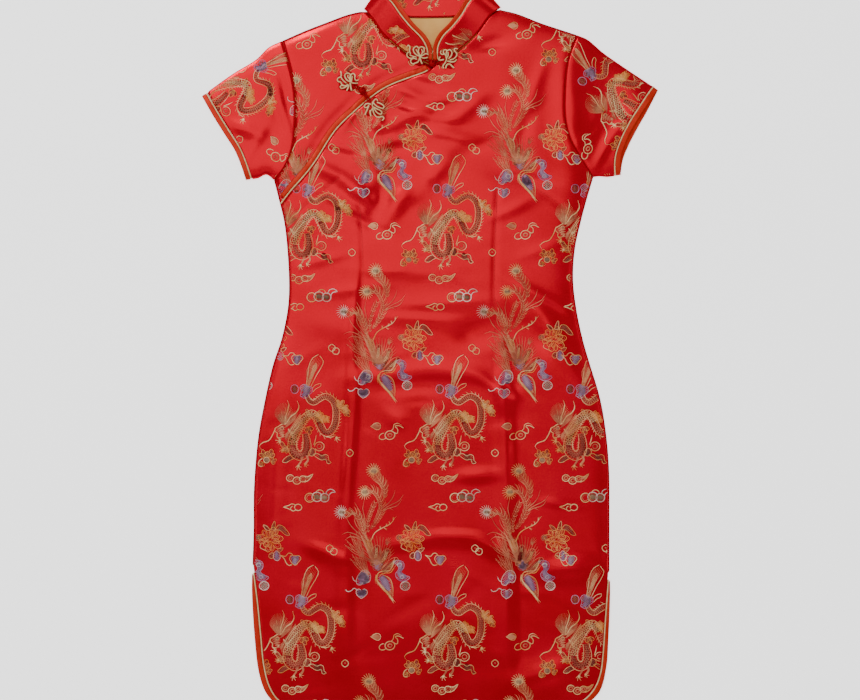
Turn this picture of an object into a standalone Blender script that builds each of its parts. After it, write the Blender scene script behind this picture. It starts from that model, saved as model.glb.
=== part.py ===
"""A cheongsam dress laid flat, front side up, as one solid for each piece of cloth.

Plan positions are in millimetres: +X to the right, +Y towards the neck, the origin
in the middle of the dress. +Z is up from the surface it lies on. Every wall is a
surface of points from this file's curves, thickened by Solidify.
"""

import math

import bmesh
import bpy
import numpy as np
from mathutils import Vector
from mathutils.bvhtree import BVHTree

MM = 0.001

# Cloth and sewing sizes, in millimetres.
CLOTH = 1.2
COLLAR_WALL = 1.5
LINING = 1.0
GAP = 0.3
SEAM = 0.2
PIPING_RADIUS = 0.8
PIPING_GAP = PIPING_RADIUS + 0.4
PIPING_SUNK = 0.35
CUFF_BAND = 7.0
COLLAR_BAND = 6.2
PLACKET_BAND = 6.5
FLAP_UNDER = 32.0
SIDE_INSET = 2.0
ARMHOLE_POINTS = 11
PLACKET_POINTS = 17
SLIT_POINTS = 12
HEM_COLUMNS = 30
FOLD_REACH = 1.4
FOLD_TOP = 3.0
# The lining: how far inside the neck seam it starts, how it narrows, where it ends.
LINING_INSET = 1.2
LINING_TAPER = 0.8
LINING_BOTTOM = 350.0
# Where the under front's side seam runs, and how far its hidden edge stays off it.
FLAP_SIDE_TOP = 208.0
FLAP_SIDE_BOTTOM = 166.0
FLAP_SIDE_GAP = 16.0

# Heights of the front's upper face above the surface that the dress lies on.
EDGE_TOP = 2 * CLOTH + GAP
FULL_TOP = 5.1
ROLL = 9.0
FLAP_STEP = CLOTH + 0.6
FLAP_STEP_WIDTH = 3.0
FLAP_END = (-190.0, 190.0)
FLAP_END_REACH = 58.0
FLAP_END_SOFT = 7.0
NECK_CENTRE = (3.0, 372.0)
NECK_REACH = 75.0
NECK_RISE = 1.2
SEAM_DIP = 0.5
DART_DIP = 0.7
GROOVE_WIDTH = 4.0
FOLD_FADE = 25.0
OPEN_EDGE_SHARE = 0.4

# The outline, as x and y of points along each edge, left as seen from the front.
SHOULDER_LEFT = [
    (-82.0, 425.0), (-103.5, 420.0), (-125.0, 412.0), (-156.0, 400.0), (-184.4, 387.5),
]
SHOULDER_RIGHT = [
    (87.5, 426.5), (109.5, 421.0), (137.5, 410.0), (160.0, 402.5), (183.5, 394.8),
]
ARMHOLE_LEFT = [
    (-184.4, 387.5), (-175.0, 355.0), (-169.5, 328.0), (-168.5, 292.0), (-172.0, 255.0),
    (-181.5, 230.0), (-195.0, 213.5),
]
ARMHOLE_RIGHT = [
    (183.5, 394.8), (172.0, 363.0), (167.6, 322.0), (168.2, 292.0), (175.5, 264.0),
    (190.0, 239.0), (204.0, 217.0),
]
SLEEVE_TOP_LEFT = [
    (-184.4, 387.5), (-202.0, 379.0), (-217.5, 364.0), (-247.5, 345.5), (-285.0, 318.5),
]
SLEEVE_TOP_RIGHT = [
    (183.5, 394.8), (197.0, 389.0), (216.5, 372.5), (240.0, 356.0), (285.0, 326.0),
]
UNDERARM_LEFT = [(-195.0, 213.5), (-204.0, 219.8), (-214.0, 215.8), (-229.9, 213.5)]
UNDERARM_RIGHT = [(204.0, 217.0), (211.0, 217.8), (221.5, 217.2), (238.4, 220.0)]
CUFF_LEFT = [
    (-285.0, 318.5), (-270.3, 292.8), (-256.1, 270.0), (-243.9, 250.8), (-235.5, 231.0),
    (-229.9, 213.5),
]
CUFF_RIGHT = [
    (285.0, 326.0), (271.6, 300.0), (260.0, 279.5), (249.5, 259.5), (241.5, 240.0),
    (238.4, 220.0),
]
# How far the front layer of the right sleeve stops short of the back layer.
CUFF_SLIP = {"left": 0.0, "right": 7.0}
SIDE_LEFT = [
    (-195.0, 213.5), (-188.1, 186.3), (-181.6, 157.5), (-176.3, 91.3), (-177.5, 55.0),
    (-185.5, 15.0), (-196.3, -17.5), (-208.8, -73.8), (-215.0, -110.0), (-220.0, -171.3),
    (-220.5, -225.0), (-221.8, -266.0),
]
SIDE_RIGHT = [
    (204.0, 217.0), (195.0, 186.3), (188.1, 160.0), (181.3, 128.8), (178.8, 91.3),
    (182.5, 55.0), (190.8, 15.0), (198.8, -13.1), (212.5, -58.8), (220.0, -102.5),
    (223.8, -147.5), (224.3, -201.3), (224.2, -275.0),
]
SLIT_LEFT = [
    (-221.8, -266.0), (-222.5, -297.5), (-218.8, -361.3), (-213.8, -401.3),
    (-206.0, -425.0), (-193.5, -441.5),
]
SLIT_RIGHT = [
    (224.2, -275.0), (225.0, -297.5), (222.8, -361.3), (220.5, -393.8),
    (212.5, -424.0), (197.0, -441.5),
]
HEM = [
    (-193.5, -441.5), (-178.0, -449.0), (-150.0, -451.1), (-75.0, -451.2), (0.0, -451.2),
    (75.0, -451.2), (150.0, -451.1), (181.0, -449.0), (197.0, -441.5),
]
# The piping line down the left slit, along the hem and up the right slit.
HEM_PIPING = [
    (-221.3, -268.8), (-215.5, -313.8), (-211.5, -353.8), (-207.3, -393.8),
    (-200.5, -419.0), (-189.5, -435.5), (-174.0, -442.8), (-150.0, -444.3),
    (-75.0, -444.3), (0.0, -444.3), (75.0, -444.3), (150.0, -444.3), (176.5, -442.8),
    (192.5, -435.5), (206.0, -420.6), (213.2, -401.3), (216.2, -377.5),
    (219.5, -330.0), (223.5, -277.5),
]
HEM_CORNERS = [(-189.5, -435.5), (192.5, -435.5)]
NECK_FRONT_LEFT = [
    (3.2, 356.5), (-12.5, 362.0), (-28.8, 371.0), (-38.0, 378.0), (-49.6, 386.9),
    (-58.5, 394.4), (-70.0, 411.5), (-82.0, 425.0),
]
NECK_FRONT_RIGHT = [
    (3.2, 356.5), (20.0, 363.0), (35.8, 374.3), (52.5, 388.5), (64.1, 402.0),
    (75.9, 418.0), (87.5, 426.5),
]
NECK_BACK = [
    (-82.0, 425.0), (-56.0, 419.4), (-25.0, 416.8), (2.5, 416.6), (32.5, 417.6),
    (62.5, 421.0), (87.5, 426.5),
]
# The slanting edge of the main front, along its piping, from the neck to the side.
PLACKET = [
    (3.2, 354.0), (-7.9, 347.5), (-24.5, 341.6), (-44.6, 334.1), (-59.8, 326.6),
    (-74.0, 316.5), (-91.5, 301.5), (-117.5, 276.4), (-145.7, 233.1), (-159.8, 215.6),
    (-173.8, 199.9), (-186.0, 184.4),
]

# Sections of the collar from the front's left end, over the left shoulder and round
# the back to the right end: x, y, z of the seam point, then x, y, z of the top edge.
COLLAR_SECTIONS = [
    (-10.5, 362.2, 6.8, 2.6, 362.8, 8.4),
    (-20.5, 366.8, 6.8, 2.3, 377.0, 10.6),
    (-34.5, 375.9, 6.7, -4.6, 391.3, 14.0),
    (-49.2, 387.6, 6.4, -19.5, 406.5, 16.5),
    (-60.5, 398.5, 6.0, -32.0, 421.5, 17.6),
    (-70.0, 412.6, 5.4, -44.6, 438.8, 17.4),
    (-77.5, 422.0, 4.9, -56.5, 447.8, 15.6),
    (-82.6, 427.2, 2.6, -65.8, 450.6, 8.6),
    (-77.0, 424.8, 0.2, -58.0, 450.9, 1.2),
    (-56.0, 419.9, 0.0, -46.0, 451.0, 0.0),
    (-25.0, 417.3, 0.0, -21.0, 451.1, 0.0),
    (2.5, 417.1, 0.0, 2.5, 451.2, 0.0),
    (32.5, 418.1, 0.0, 26.0, 451.2, 0.0),
    (62.5, 421.5, 0.0, 49.0, 451.0, 0.0),
    (82.5, 426.8, 0.2, 60.5, 450.9, 1.2),
    (88.6, 429.2, 2.6, 68.0, 450.6, 8.6),
    (83.0, 424.6, 4.9, 58.5, 447.8, 15.6),
    (75.2, 418.8, 5.4, 45.8, 438.8, 17.4),
    (63.4, 402.6, 6.0, 34.6, 421.0, 17.6),
    (52.0, 389.2, 6.4, 23.4, 407.0, 16.5),
    (37.5, 376.6, 6.7, 10.6, 394.0, 14.0),
    (25.5, 366.9, 6.8, 4.3, 380.0, 10.6),
    (16.5, 362.4, 6.8, 4.0, 362.8, 8.4),
]

# The largest folds, as soft ridges (or troughs, where the height is negative):
# x and y of the middle, turn in degrees, length, width, height.
FOLDS = [
    (-108, -70, 84, 210, 20, -0.8),
    (-112, -290, 90, 260, 22, -0.7),
    (100, -80, 94, 220, 20, -0.8),
    (98, -300, 90, 260, 22, -0.7),
    (0, -35, 2, 150, 16, -0.9),
    (-40, -62, -6, 160, 14, 0.8),
    (95, 15, 12, 90, 14, 0.8),
    (-120, 30, -14, 80, 14, 0.7),
    (35, 105, -28, 120, 22, 0.8),
    (-60, 95, 24, 110, 20, 0.7),
    (60, 215, -40, 130, 24, 0.8),
    (-20, 285, 30, 120, 14, -0.7),
    (110, 300, -70, 110, 22, 0.7),
    (-60, -180, 30, 150, 26, 0.7),
    (60, -215, -24, 170, 26, 0.8),
    (-10, -340, 8, 220, 30, 0.8),
    (155, -180, 78, 180, 20, 0.6),
    (-170, -200, 98, 190, 20, 0.6),
    (-212, 300, 62, 90, 18, 0.7),
    (-196, 262, 80, 80, 10, -0.8),
    (212, 280, -52, 100, 16, 0.9),
    (196, 330, -78, 90, 12, -0.8),
]
DARTS = [
    [(-88.5, 196.0), (-83.5, 108.0), (-86.5, 26.0), (-89.0, -19.0)],
    [(84.0, 199.0), (81.0, 134.0), (80.0, 70.0), (82.5, -24.0)],
    [(-181.6, 157.5), (-150.0, 186.0), (-113.0, 216.0)],
    [(187.0, 160.0), (155.0, 188.0), (118.0, 211.0)],
]

# Frog halves: name, x and y of the middle, turn towards the knot in degrees, radius.
FROGS = [
    ("frog_collar_left", -15.6, 368.5, -38.0, 13.2),
    ("frog_collar_right", 21.6, 364.5, 186.0, 13.2),
    ("frog_chest_upper", -103.0, 336.0, -30.0, 13.2),
    ("frog_chest_lower", -70.5, 304.0, 122.0, 13.2),
]
# Knots: name, x and y.
KNOTS = [("frog_collar_knot", 3.2, 358.6), ("frog_chest_knot", -84.3, 324.5)]
KNOT_RADIUS = 4.2
FROG_THICK = 2.2
FROG_LOBES = 5
FROG_LOBE_DEPTH = 0.16
FROG_REACH = 3.2
FROG_SIDES = 30

COLOURS = {
    "red_satin": ((0.62, 0.01, 0.02), 0.32),
    "orange_bias": ((0.72, 0.06, 0.02), 0.38),
    "gold_piping": ((0.72, 0.58, 0.26), 0.35),
    "ochre_lining": ((0.70, 0.44, 0.14), 0.45),
}


def smooth_curve(rows, count):
    """Even points on a smooth curve through the rows, end to end."""
    knots = np.array(rows, float)
    chords = np.linalg.norm(np.diff(knots, axis=0), axis=1)
    at = np.concatenate([[0.0], np.cumsum(np.sqrt(chords))])
    slope = np.gradient(knots, at, axis=0)
    fine = np.linspace(0.0, at[-1], 16 * len(knots))
    piece = np.clip(np.searchsorted(at, fine, side="right") - 1, 0, len(knots) - 2)
    span = (at[piece + 1] - at[piece])[:, None]
    f = (fine - at[piece])[:, None] / span
    dense = (
        (2 * f**3 - 3 * f**2 + 1) * knots[piece]
        + (f**3 - 2 * f**2 + f) * span * slope[piece]
        + (3 * f**2 - 2 * f**3) * knots[piece + 1]
        + (f**3 - f**2) * span * slope[piece + 1]
    )
    return even_points(dense, count)


def even_points(points, count):
    """Points at equal steps of length along a polyline."""
    steps = np.linalg.norm(np.diff(points, axis=0), axis=1)
    along = np.concatenate([[0.0], np.cumsum(steps)])
    wanted = np.linspace(0.0, along[-1], count)
    return np.stack([np.interp(wanted, along, axis) for axis in points.T], axis=1)


def moved_aside(points, distance):
    """A plan curve moved to its left by the distance (to its right if negative)."""
    run = np.gradient(points[:, :2], axis=0)
    run /= np.linalg.norm(run, axis=1)[:, None]
    moved = points.copy()
    moved[:, 0] -= run[:, 1] * distance
    moved[:, 1] += run[:, 0] * distance
    return moved


def chain(*curves):
    """Curves joined end to end, without the points that they share."""
    return np.concatenate([curves[0]] + [curve[1:] for curve in curves[1:]])


def patch(top, bottom, left, right):
    """A grid of plan points that fills four boundary curves (a Coons patch)."""
    u = np.linspace(0.0, 1.0, len(top))[None, :, None]
    v = np.linspace(0.0, 1.0, len(left))[:, None, None]
    ruled = (1 - v) * top[None] + v * bottom[None]
    ruled = ruled + (1 - u) * left[:, None] + u * right[:, None]
    corners = (1 - v) * ((1 - u) * top[0] + u * top[-1])
    corners = corners + v * ((1 - u) * bottom[0] + u * bottom[-1])
    return ruled - corners


def line_distance(x, y, lines):
    """Distance in plan from each point to the nearest of the polylines."""
    nearest = np.full(np.shape(x), np.inf)
    for line in lines:
        for (ax, ay), (bx, by) in zip(line[:-1], line[1:]):
            dx, dy = bx - ax, by - ay
            f = np.clip(((x - ax) * dx + (y - ay) * dy) / (dx * dx + dy * dy), 0, 1)
            nearest = np.minimum(nearest, np.hypot(x - ax - f * dx, y - ay - f * dy))
    return nearest


# The edges where the front folds over or meets the back.
CREASES = [
    smooth_curve(rows, 14)
    for rows in (
        SHOULDER_LEFT, SHOULDER_RIGHT, SLEEVE_TOP_LEFT, SLEEVE_TOP_RIGHT,
        UNDERARM_LEFT, UNDERARM_RIGHT, SIDE_LEFT, SIDE_RIGHT,
    )
]
OPEN_EDGES = [smooth_curve(rows, 14) for rows in (SLIT_LEFT, SLIT_RIGHT, HEM)]
ARMHOLES = [smooth_curve(rows, 14) for rows in (ARMHOLE_LEFT, ARMHOLE_RIGHT)]
PLACKET_LINE = smooth_curve(PLACKET, 40)
FLAP_LINE = chain(PLACKET_LINE, np.array([(-191.0, 178.0)]))


def folds(x, y):
    """Sum of the large folds, each a bell across its width and along its length."""
    total = np.zeros(np.shape(x))
    for fx, fy, turn, length, width, height in FOLDS:
        c, s = math.cos(math.radians(turn)), math.sin(math.radians(turn))
        along = ((x - fx) * c + (y - fy) * s) / (0.5 * length)
        across = ((y - fy) * c - (x - fx) * s) / width
        total = total + height * np.exp(-(along**2) - across**2)
    return total


def soft_step(distance, width):
    """A smooth step from 0 to 1 as the distance passes zero."""
    return 1 / (1 + np.exp(-distance / width))


def groove(x, y, lines):
    """A bell of height 1 along the lines, as wide as a pressed seam."""
    return np.exp(-((line_distance(x, y, lines) / GROOVE_WIDTH) ** 2))


def front_top(x, y):
    """Height of the front's upper face: low at the folded edges, soft inside."""
    from_crease = line_distance(x, y, CREASES) - SIDE_INSET
    from_open = OPEN_EDGE_SHARE * line_distance(x, y, OPEN_EDGES)
    from_edge = np.minimum(from_crease, from_open)
    from_edge = np.maximum(from_edge, 0.0)
    inside = 1 - np.exp(-from_edge / ROLL)
    height = EDGE_TOP + (FULL_TOP - EDGE_TOP) * inside
    height = height + folds(x, y) * (1 - np.exp(-from_edge / FOLD_FADE))
    height = height - SEAM_DIP * inside * groove(x, y, ARMHOLES)
    height = height - DART_DIP * inside * groove(x, y, DARTS)
    from_flap_end = np.hypot(x - FLAP_END[0], y - FLAP_END[1])
    near_flap = soft_step(FLAP_END_REACH - from_flap_end, FLAP_END_SOFT)
    from_neck = np.hypot(x - NECK_CENTRE[0], y - NECK_CENTRE[1])
    near_neck = np.exp(-((from_neck / NECK_REACH) ** 2))
    return height + FLAP_STEP * near_flap + NECK_RISE * near_neck * inside


def flap_top(x, y):
    """Height of the under front's upper face: it dips under the main front's edge."""
    from_step = PLACKET_BAND + 3 * FLAP_STEP_WIDTH - signed_side(x, y)
    return front_top(x, y) - FLAP_STEP * soft_step(from_step, FLAP_STEP_WIDTH)


def signed_side(x, y):
    """Distance outside the slanting edge, negative under the main front."""
    distance = line_distance(x, y, [FLAP_LINE])
    edge_y = np.interp(x, FLAP_LINE[::-1, 0], FLAP_LINE[::-1, 1])
    return np.where(y > edge_y, distance, -distance)


def lifted(plan, height):
    """Plan points with their height from a height function or a constant."""
    z = height(plan[..., 0], plan[..., 1]) if callable(height) else height
    z = np.broadcast_to(z, plan.shape[:-1])
    return np.concatenate([plan, z[..., None]], axis=-1)


def material(name):
    """The Principled material of this name, made on first use."""
    made = bpy.data.materials.get(name)
    if made is None:
        colour, roughness = COLOURS[name]
        made = bpy.data.materials.new(name)
        made.use_nodes = True
        shader = made.node_tree.nodes["Principled BSDF"]
        shader.inputs["Base Color"].default_value = (*colour, 1.0)
        shader.inputs["Roughness"].default_value = roughness
        shader.inputs["Metallic"].default_value = 0.0
    return made


def add_object(name, data, finish):
    """Links an object of this data to the dress's collection."""
    made = bpy.data.objects.new(name, data)
    made.data.materials.append(material(finish))
    bpy.data.collections["cheongsam_dress"].objects.link(made)
    return made


def wall(name, grid, thickness, finish, wraps=False, faces_down=False):
    """A cloth wall: the grid's outer surface, thickened to its inner side.

    The grid holds rows of points in millimetres. With wraps, each row is a loop.
    """
    rows, columns = grid.shape[:2]
    surface = bmesh.new()
    verts = [surface.verts.new(point) for point in (grid.reshape(-1, 3) * MM).tolist()]
    for r in range(rows - 1):
        for c in range(columns if wraps else columns - 1):
            d = (c + 1) % columns
            ring = [(r, c), (r + 1, c), (r + 1, d), (r, d)]
            surface.faces.new([verts[i * columns + j] for i, j in ring])
    if faces_down:
        bmesh.ops.reverse_faces(surface, faces=surface.faces)
    mesh = bpy.data.meshes.new(name)
    surface.to_mesh(mesh)
    surface.free()
    mesh.shade_smooth()
    made = add_object(name, mesh, finish)
    solid = made.modifiers.new("wall", "SOLIDIFY")
    solid.thickness = thickness * MM
    solid.offset = -1.0
    return made


def cord(name, points, radius, finish, closed=False):
    """A round cord through the points, six-sided, with its ends closed."""
    curve = bpy.data.curves.new(name, "CURVE")
    curve.dimensions = "3D"
    curve.bevel_depth = radius * MM
    curve.bevel_resolution = 1
    curve.use_fill_caps = not closed
    spline = curve.splines.new("POLY")
    spline.points.add(len(points) - 1)
    flat = np.concatenate([points * MM, np.ones((len(points), 1))], axis=1)
    spline.points.foreach_set("co", flat.ravel())
    spline.use_cyclic_u = closed
    return add_object(name, curve, finish)


def hem_line(inset):
    """The run of piping along both slits and the hem, moved inside the dress."""
    whole = smooth_curve(HEM_PIPING, 400)
    cuts = [np.argmin(np.hypot(*(whole - corner).T)) for corner in HEM_CORNERS]
    parts = [whole[: cuts[0] + 1], whole[cuts[0] : cuts[1] + 1], whole[cuts[1] :]]
    counts = (SLIT_POINTS, HEM_COLUMNS, SLIT_POINTS)
    run = chain(*[even_points(part, count) for part, count in zip(parts, counts)])
    return moved_aside(run, inset)


def body_grid(top, armholes, insets, side_points):
    """Plan grid of a body panel from its top edge down to the hem's piping.

    armholes, insets and side_points hold the left and right values: the armhole rows
    (None where the panel has none), how far in the side seam lies, and its points.
    """
    run = hem_line(PIPING_GAP)
    bottom = run[SLIT_POINTS - 1 : SLIT_POINTS + HEM_COLUMNS - 1]
    slits = run[: SLIT_POINTS], run[::-1][: SLIT_POINTS]
    edges = []
    for index, turn in ((0, 1.0), (1, -1.0)):
        pieces = [top[-index][None]]
        if armholes[index] is not None:
            seam = smooth_curve(armholes[index], ARMHOLE_POINTS)
            pieces.append(moved_aside(seam, turn * SEAM)[1:-1])
        rows = (SIDE_LEFT, SIDE_RIGHT)[index]
        side = moved_aside(smooth_curve(rows, 120), turn * insets[index])
        below = side[:, 1] < pieces[-1][-1, 1] - 3.0
        above = side[:, 1] > slits[index][0, 1] + 2.0
        pieces.append(even_points(side[below & above], side_points[index]))
        pieces.append(slits[index])
        edges.append(np.concatenate(pieces))
    return patch(top, bottom, *edges)


def main_front():
    """The large front piece, under the slanting edge, the neck and the shoulder."""
    placket = moved_aside(smooth_curve(PLACKET, PLACKET_POINTS)[::-1], -PIPING_GAP)
    neck = moved_aside(smooth_curve(NECK_FRONT_RIGHT, 8), -SEAM)
    shoulder = moved_aside(smooth_curve(SHOULDER_RIGHT, 7), -SIDE_INSET)
    top = chain(placket, neck, shoulder)
    insets = (SIDE_INSET, SIDE_INSET)
    plan = body_grid(top, (None, ARMHOLE_RIGHT), insets, (28, 19))
    wall("front_panel", lifted(plan, front_top), CLOTH, "red_satin")


def under_front():
    """The shoulder piece that runs on under the main front's slanting edge."""
    shoulder = moved_aside(smooth_curve(SHOULDER_LEFT, 11)[::-1], -SIDE_INSET)
    armhole = moved_aside(smooth_curve(ARMHOLE_LEFT, ARMHOLE_POINTS), SEAM)
    neck = moved_aside(smooth_curve(NECK_FRONT_LEFT, 40)[::-1], -SEAM)
    hidden = moved_aside(smooth_curve(PLACKET, 60), FLAP_UNDER)
    side = moved_aside(smooth_curve(SIDE_LEFT, 120), SIDE_INSET)
    side = side[(side[:, 1] < FLAP_SIDE_TOP) & (side[:, 1] > FLAP_SIDE_BOTTOM)]
    hidden = hidden[hidden[:, 0] > side[-1, 0] + FLAP_SIDE_GAP]
    side = even_points(side, 6)
    left = np.concatenate([shoulder[:1], armhole[1:-1], side])
    bottom = even_points(np.concatenate([side[-1:], hidden[::-1]]), 11)
    right = np.concatenate([shoulder[-1:], neck[1:], bottom[-1:]])
    plan = patch(shoulder, bottom, left, even_points(right, len(left)))
    wall("front_shoulder", lifted(plan, flap_top), CLOTH, "red_satin")


def back():
    """The back piece, flat on the surface, in the dress's whole outline."""
    shoulder_left = smooth_curve(SHOULDER_LEFT, 9)[::-1]
    neck = moved_aside(smooth_curve(NECK_BACK, HEM_COLUMNS - 14), -SEAM)
    shoulder_right = smooth_curve(SHOULDER_RIGHT, 9)
    top = chain(shoulder_left[:-1], neck, shoulder_right[1:])
    plan = body_grid(top, (ARMHOLE_LEFT, ARMHOLE_RIGHT), (0.0, 0.0), (19, 19))
    wall("back_panel", lifted(plan, CLOTH), CLOTH, "red_satin")


def trimmed(points, distance):
    """A curve with this much cut off each of its ends."""
    steps = np.linalg.norm(np.diff(points, axis=0), axis=1)
    along = np.concatenate([[0.0], np.cumsum(steps)])
    wanted = along.copy()
    wanted[0], wanted[-1] = distance, along[-1] - distance
    return np.stack([np.interp(wanted, along, axis) for axis in points.T], axis=1)


def stretch(line, first, last, count):
    """Even points along the part of a line that lies between two ends near it."""
    a = np.argmin(np.hypot(*(line - first).T))
    b = np.argmin(np.hypot(*(line - last).T))
    middle = line[min(a, b) + 1 : max(a, b)]
    return even_points(np.concatenate([first[None], middle, last[None]]), count)


def loops_round(front_plan, back_plan):
    """Loops of points from a front layer over its folds and along a back layer."""
    across = front_plan.shape[1]
    front = lifted(front_plan, front_top)
    ease = np.sin(np.pi * np.linspace(0.0, 1.0, across)) ** 0.5
    front[..., 2] = FOLD_TOP + (np.maximum(front[..., 2], FOLD_TOP) - FOLD_TOP) * ease
    rear = lifted(back_plan, 0.0)[:, ::-1]
    folded = []
    for end, beside in ((-1, -2), (0, 1)):
        outward = front_plan[:, end] - front_plan[:, beside]
        outward /= np.linalg.norm(outward, axis=1)[:, None]
        middle = 0.5 * (front_plan[:, end] + back_plan[:, end])
        folded.append(lifted(middle + FOLD_REACH * outward, 0.5 * FOLD_TOP)[:, None])
    return np.concatenate([front, folded[0], rear, folded[1]], axis=1)


def sleeve(side):
    """One sleeve, its cuff binding and the piping between them."""
    turn = 1 if side == "left" else -1
    armhole_rows, top_rows, under_rows, cuff_rows = {
        "left": (ARMHOLE_LEFT, SLEEVE_TOP_LEFT, UNDERARM_LEFT, CUFF_LEFT),
        "right": (ARMHOLE_RIGHT, SLEEVE_TOP_RIGHT, UNDERARM_RIGHT, CUFF_RIGHT),
    }[side]
    top_fold = moved_aside(smooth_curve(top_rows, 60), turn * FOLD_REACH)
    under_fold = moved_aside(smooth_curve(under_rows, 60), -turn * FOLD_REACH)
    start = moved_aside(smooth_curve(armhole_rows, ARMHOLE_POINTS), -turn * SEAM)
    start = trimmed(start, FOLD_REACH)
    cuff_back = smooth_curve(cuff_rows, ARMHOLE_POINTS)
    bell = np.sin(np.pi * np.linspace(0.0, 1.0, ARMHOLE_POINTS))[:, None] ** 0.7
    slip = moved_aside(cuff_back, turn * CUFF_SLIP[side]) - cuff_back
    cuffs = [cuff_back + slip * bell, cuff_back]

    def ends_at(inset):
        return [trimmed(moved_aside(cuff, turn * inset), FOLD_REACH) for cuff in cuffs]

    def tube(first, last, along):
        layers = []
        for a, b in zip(first, last):
            top = stretch(top_fold, a[0], b[0], along)
            under = stretch(under_fold, a[-1], b[-1], along)
            layers.append(patch(a, b, top, under))
        return loops_round(*layers)

    cloth = tube([start, start], ends_at(CUFF_BAND + PIPING_GAP), 11)
    wall(f"sleeve_{side}", cloth, CLOTH, "red_satin", True, turn < 0)
    band = tube(ends_at(CUFF_BAND - PIPING_GAP), ends_at(0.0), 3)
    wall(f"cuff_binding_{side}", band, CLOTH, "orange_bias", True, turn < 0)
    front_line, back_line = ends_at(CUFF_BAND)
    loop = loops_round(front_line[None], back_line[None])[0]
    loop[:, 2] = np.maximum(loop[:, 2] - PIPING_SUNK, PIPING_RADIUS)
    cord(f"cuff_piping_{side}", loop, PIPING_RADIUS, "gold_piping", closed=True)


def collar_grid():
    """Seam and edge curves of the collar, evenly spaced round the neck."""
    sections = smooth_curve(COLLAR_SECTIONS, 57)
    seam, edge = sections[:, :3], sections[:, 3:]
    seam[:, 2] = np.maximum(seam[:, 2], 0.0)
    edge[:, 2] = np.maximum(edge[:, 2], 0.0)
    return seam, edge


def collar():
    """The stand-up collar, its edge binding and the piping between them."""
    seam, edge = collar_grid()
    reach = edge - seam
    unit = reach / np.linalg.norm(reach, axis=1)[:, None]

    def band(start, stop, rows):
        f = np.linspace(0.0, 1.0, rows)[:, None, None]
        return start[None] * (1 - f) + stop[None] * f

    inner = edge - unit * (COLLAR_BAND + PIPING_GAP)
    outer = edge - unit * (COLLAR_BAND - PIPING_GAP)
    wall("collar", band(seam, inner, 4), COLLAR_WALL, "red_satin")
    wall("collar_binding", band(outer, edge, 2), COLLAR_WALL, "orange_bias")
    line = edge - unit * COLLAR_BAND
    inward = np.cross(np.gradient(line, axis=0), unit)
    inward /= np.linalg.norm(inward, axis=1)[:, None]
    line = line + inward * PIPING_SUNK
    line[:, 2] = np.maximum(line[:, 2], PIPING_RADIUS)
    cord("collar_piping", line, PIPING_RADIUS, "gold_piping")


def lining():
    """The ochre lining of the back, where the open neck shows it."""
    top = moved_aside(smooth_curve(NECK_BACK[1:-1], 9), -LINING_INSET)
    bottom = top * (LINING_TAPER, 0.0) + (0.0, LINING_BOTTOM)
    left = np.linspace(top[0], bottom[0], 4)
    right = np.linspace(top[-1], bottom[-1], 4)
    plan = patch(top, bottom, left, right)
    wall("neck_lining", lifted(plan, CLOTH + GAP + LINING), LINING, "ochre_lining")


def placket_trim():
    """The binding along the main front's slanting edge, and its piping."""
    line = smooth_curve(PLACKET, PLACKET_POINTS)
    inner = moved_aside(line, -PIPING_GAP)
    outer = moved_aside(line, -PLACKET_BAND - PIPING_RADIUS)
    strip = np.stack([inner, outer])[:, 1:-1]
    wall("placket_binding", lifted(strip, front_top), CLOTH, "orange_bias")
    raised = lifted(line[1:], front_top)
    raised[:, 2] -= PIPING_SUNK
    cord("placket_piping", raised, PIPING_RADIUS, "gold_piping")


def hem_trim():
    """The bindings along the slits and the hem, front and back, with their piping."""
    outline = chain(
        even_points(smooth_curve(SLIT_LEFT, 60), SLIT_POINTS),
        even_points(smooth_curve(HEM, 60), HEM_COLUMNS),
        even_points(smooth_curve(SLIT_RIGHT, 60), SLIT_POINTS)[::-1],
    )
    inner, line = hem_line(-PIPING_GAP), hem_line(0.0)
    for layer, height in (("front", front_top), ("back", CLOTH)):
        strip = np.stack([outline, inner])[:, 2:-2]
        wall(f"hem_binding_{layer}", lifted(strip, height), CLOTH, "orange_bias", faces_down=True)
        raised = lifted(line[1:-1], height)
        raised[:, 2] -= PIPING_SUNK if layer == "front" else CLOTH - PIPING_RADIUS
        cord(f"hem_piping_{layer}", raised, PIPING_RADIUS, "gold_piping")


def ground_under(names):
    """A function for the height of the highest named piece under a plan point."""
    graph = bpy.context.evaluated_depsgraph_get()
    trees = [BVHTree.FromObject(bpy.data.objects[name], graph) for name in names]
    down = Vector((0.0, 0.0, -1.0))

    def height(x, y):
        start = Vector((x * MM, y * MM, 1.0))
        hits = [tree.ray_cast(start, down)[0] for tree in trees]
        return max([hit.z for hit in hits if hit], default=0.0) / MM

    return np.vectorize(height)


def rings(x, y, radii):
    """Plan points on rings round a centre; radii holds a row for each ring."""
    angles = np.linspace(0.0, 2 * math.pi, radii.shape[1], endpoint=False)
    return np.stack([x + radii * np.cos(angles), y + radii * np.sin(angles)], axis=-1)


def frog_half(name, x, y, turn, radius, under):
    """One flower-shaped plaque, bent over what lies within FROG_REACH under it."""
    angles = np.linspace(0.0, 2 * math.pi, FROG_SIDES, endpoint=False)
    wave = np.cos(FROG_LOBES * (angles - math.radians(turn) - math.pi))
    outline = radius * (1 - FROG_LOBE_DEPTH * (1 - wave))
    plan = rings(x, y, np.linspace(0.12, 1.0, 4)[:, None] * outline)
    near = plan[:, :, None] + rings(0.0, 0.0, np.full((1, 9), FROG_REACH))[0]
    floor = under(near[..., 0], near[..., 1]).max(axis=-1)
    grid = lifted(plan, floor + 2 * GAP + FROG_THICK)
    wall(name, grid, FROG_THICK, "red_satin", wraps=True)


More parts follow.
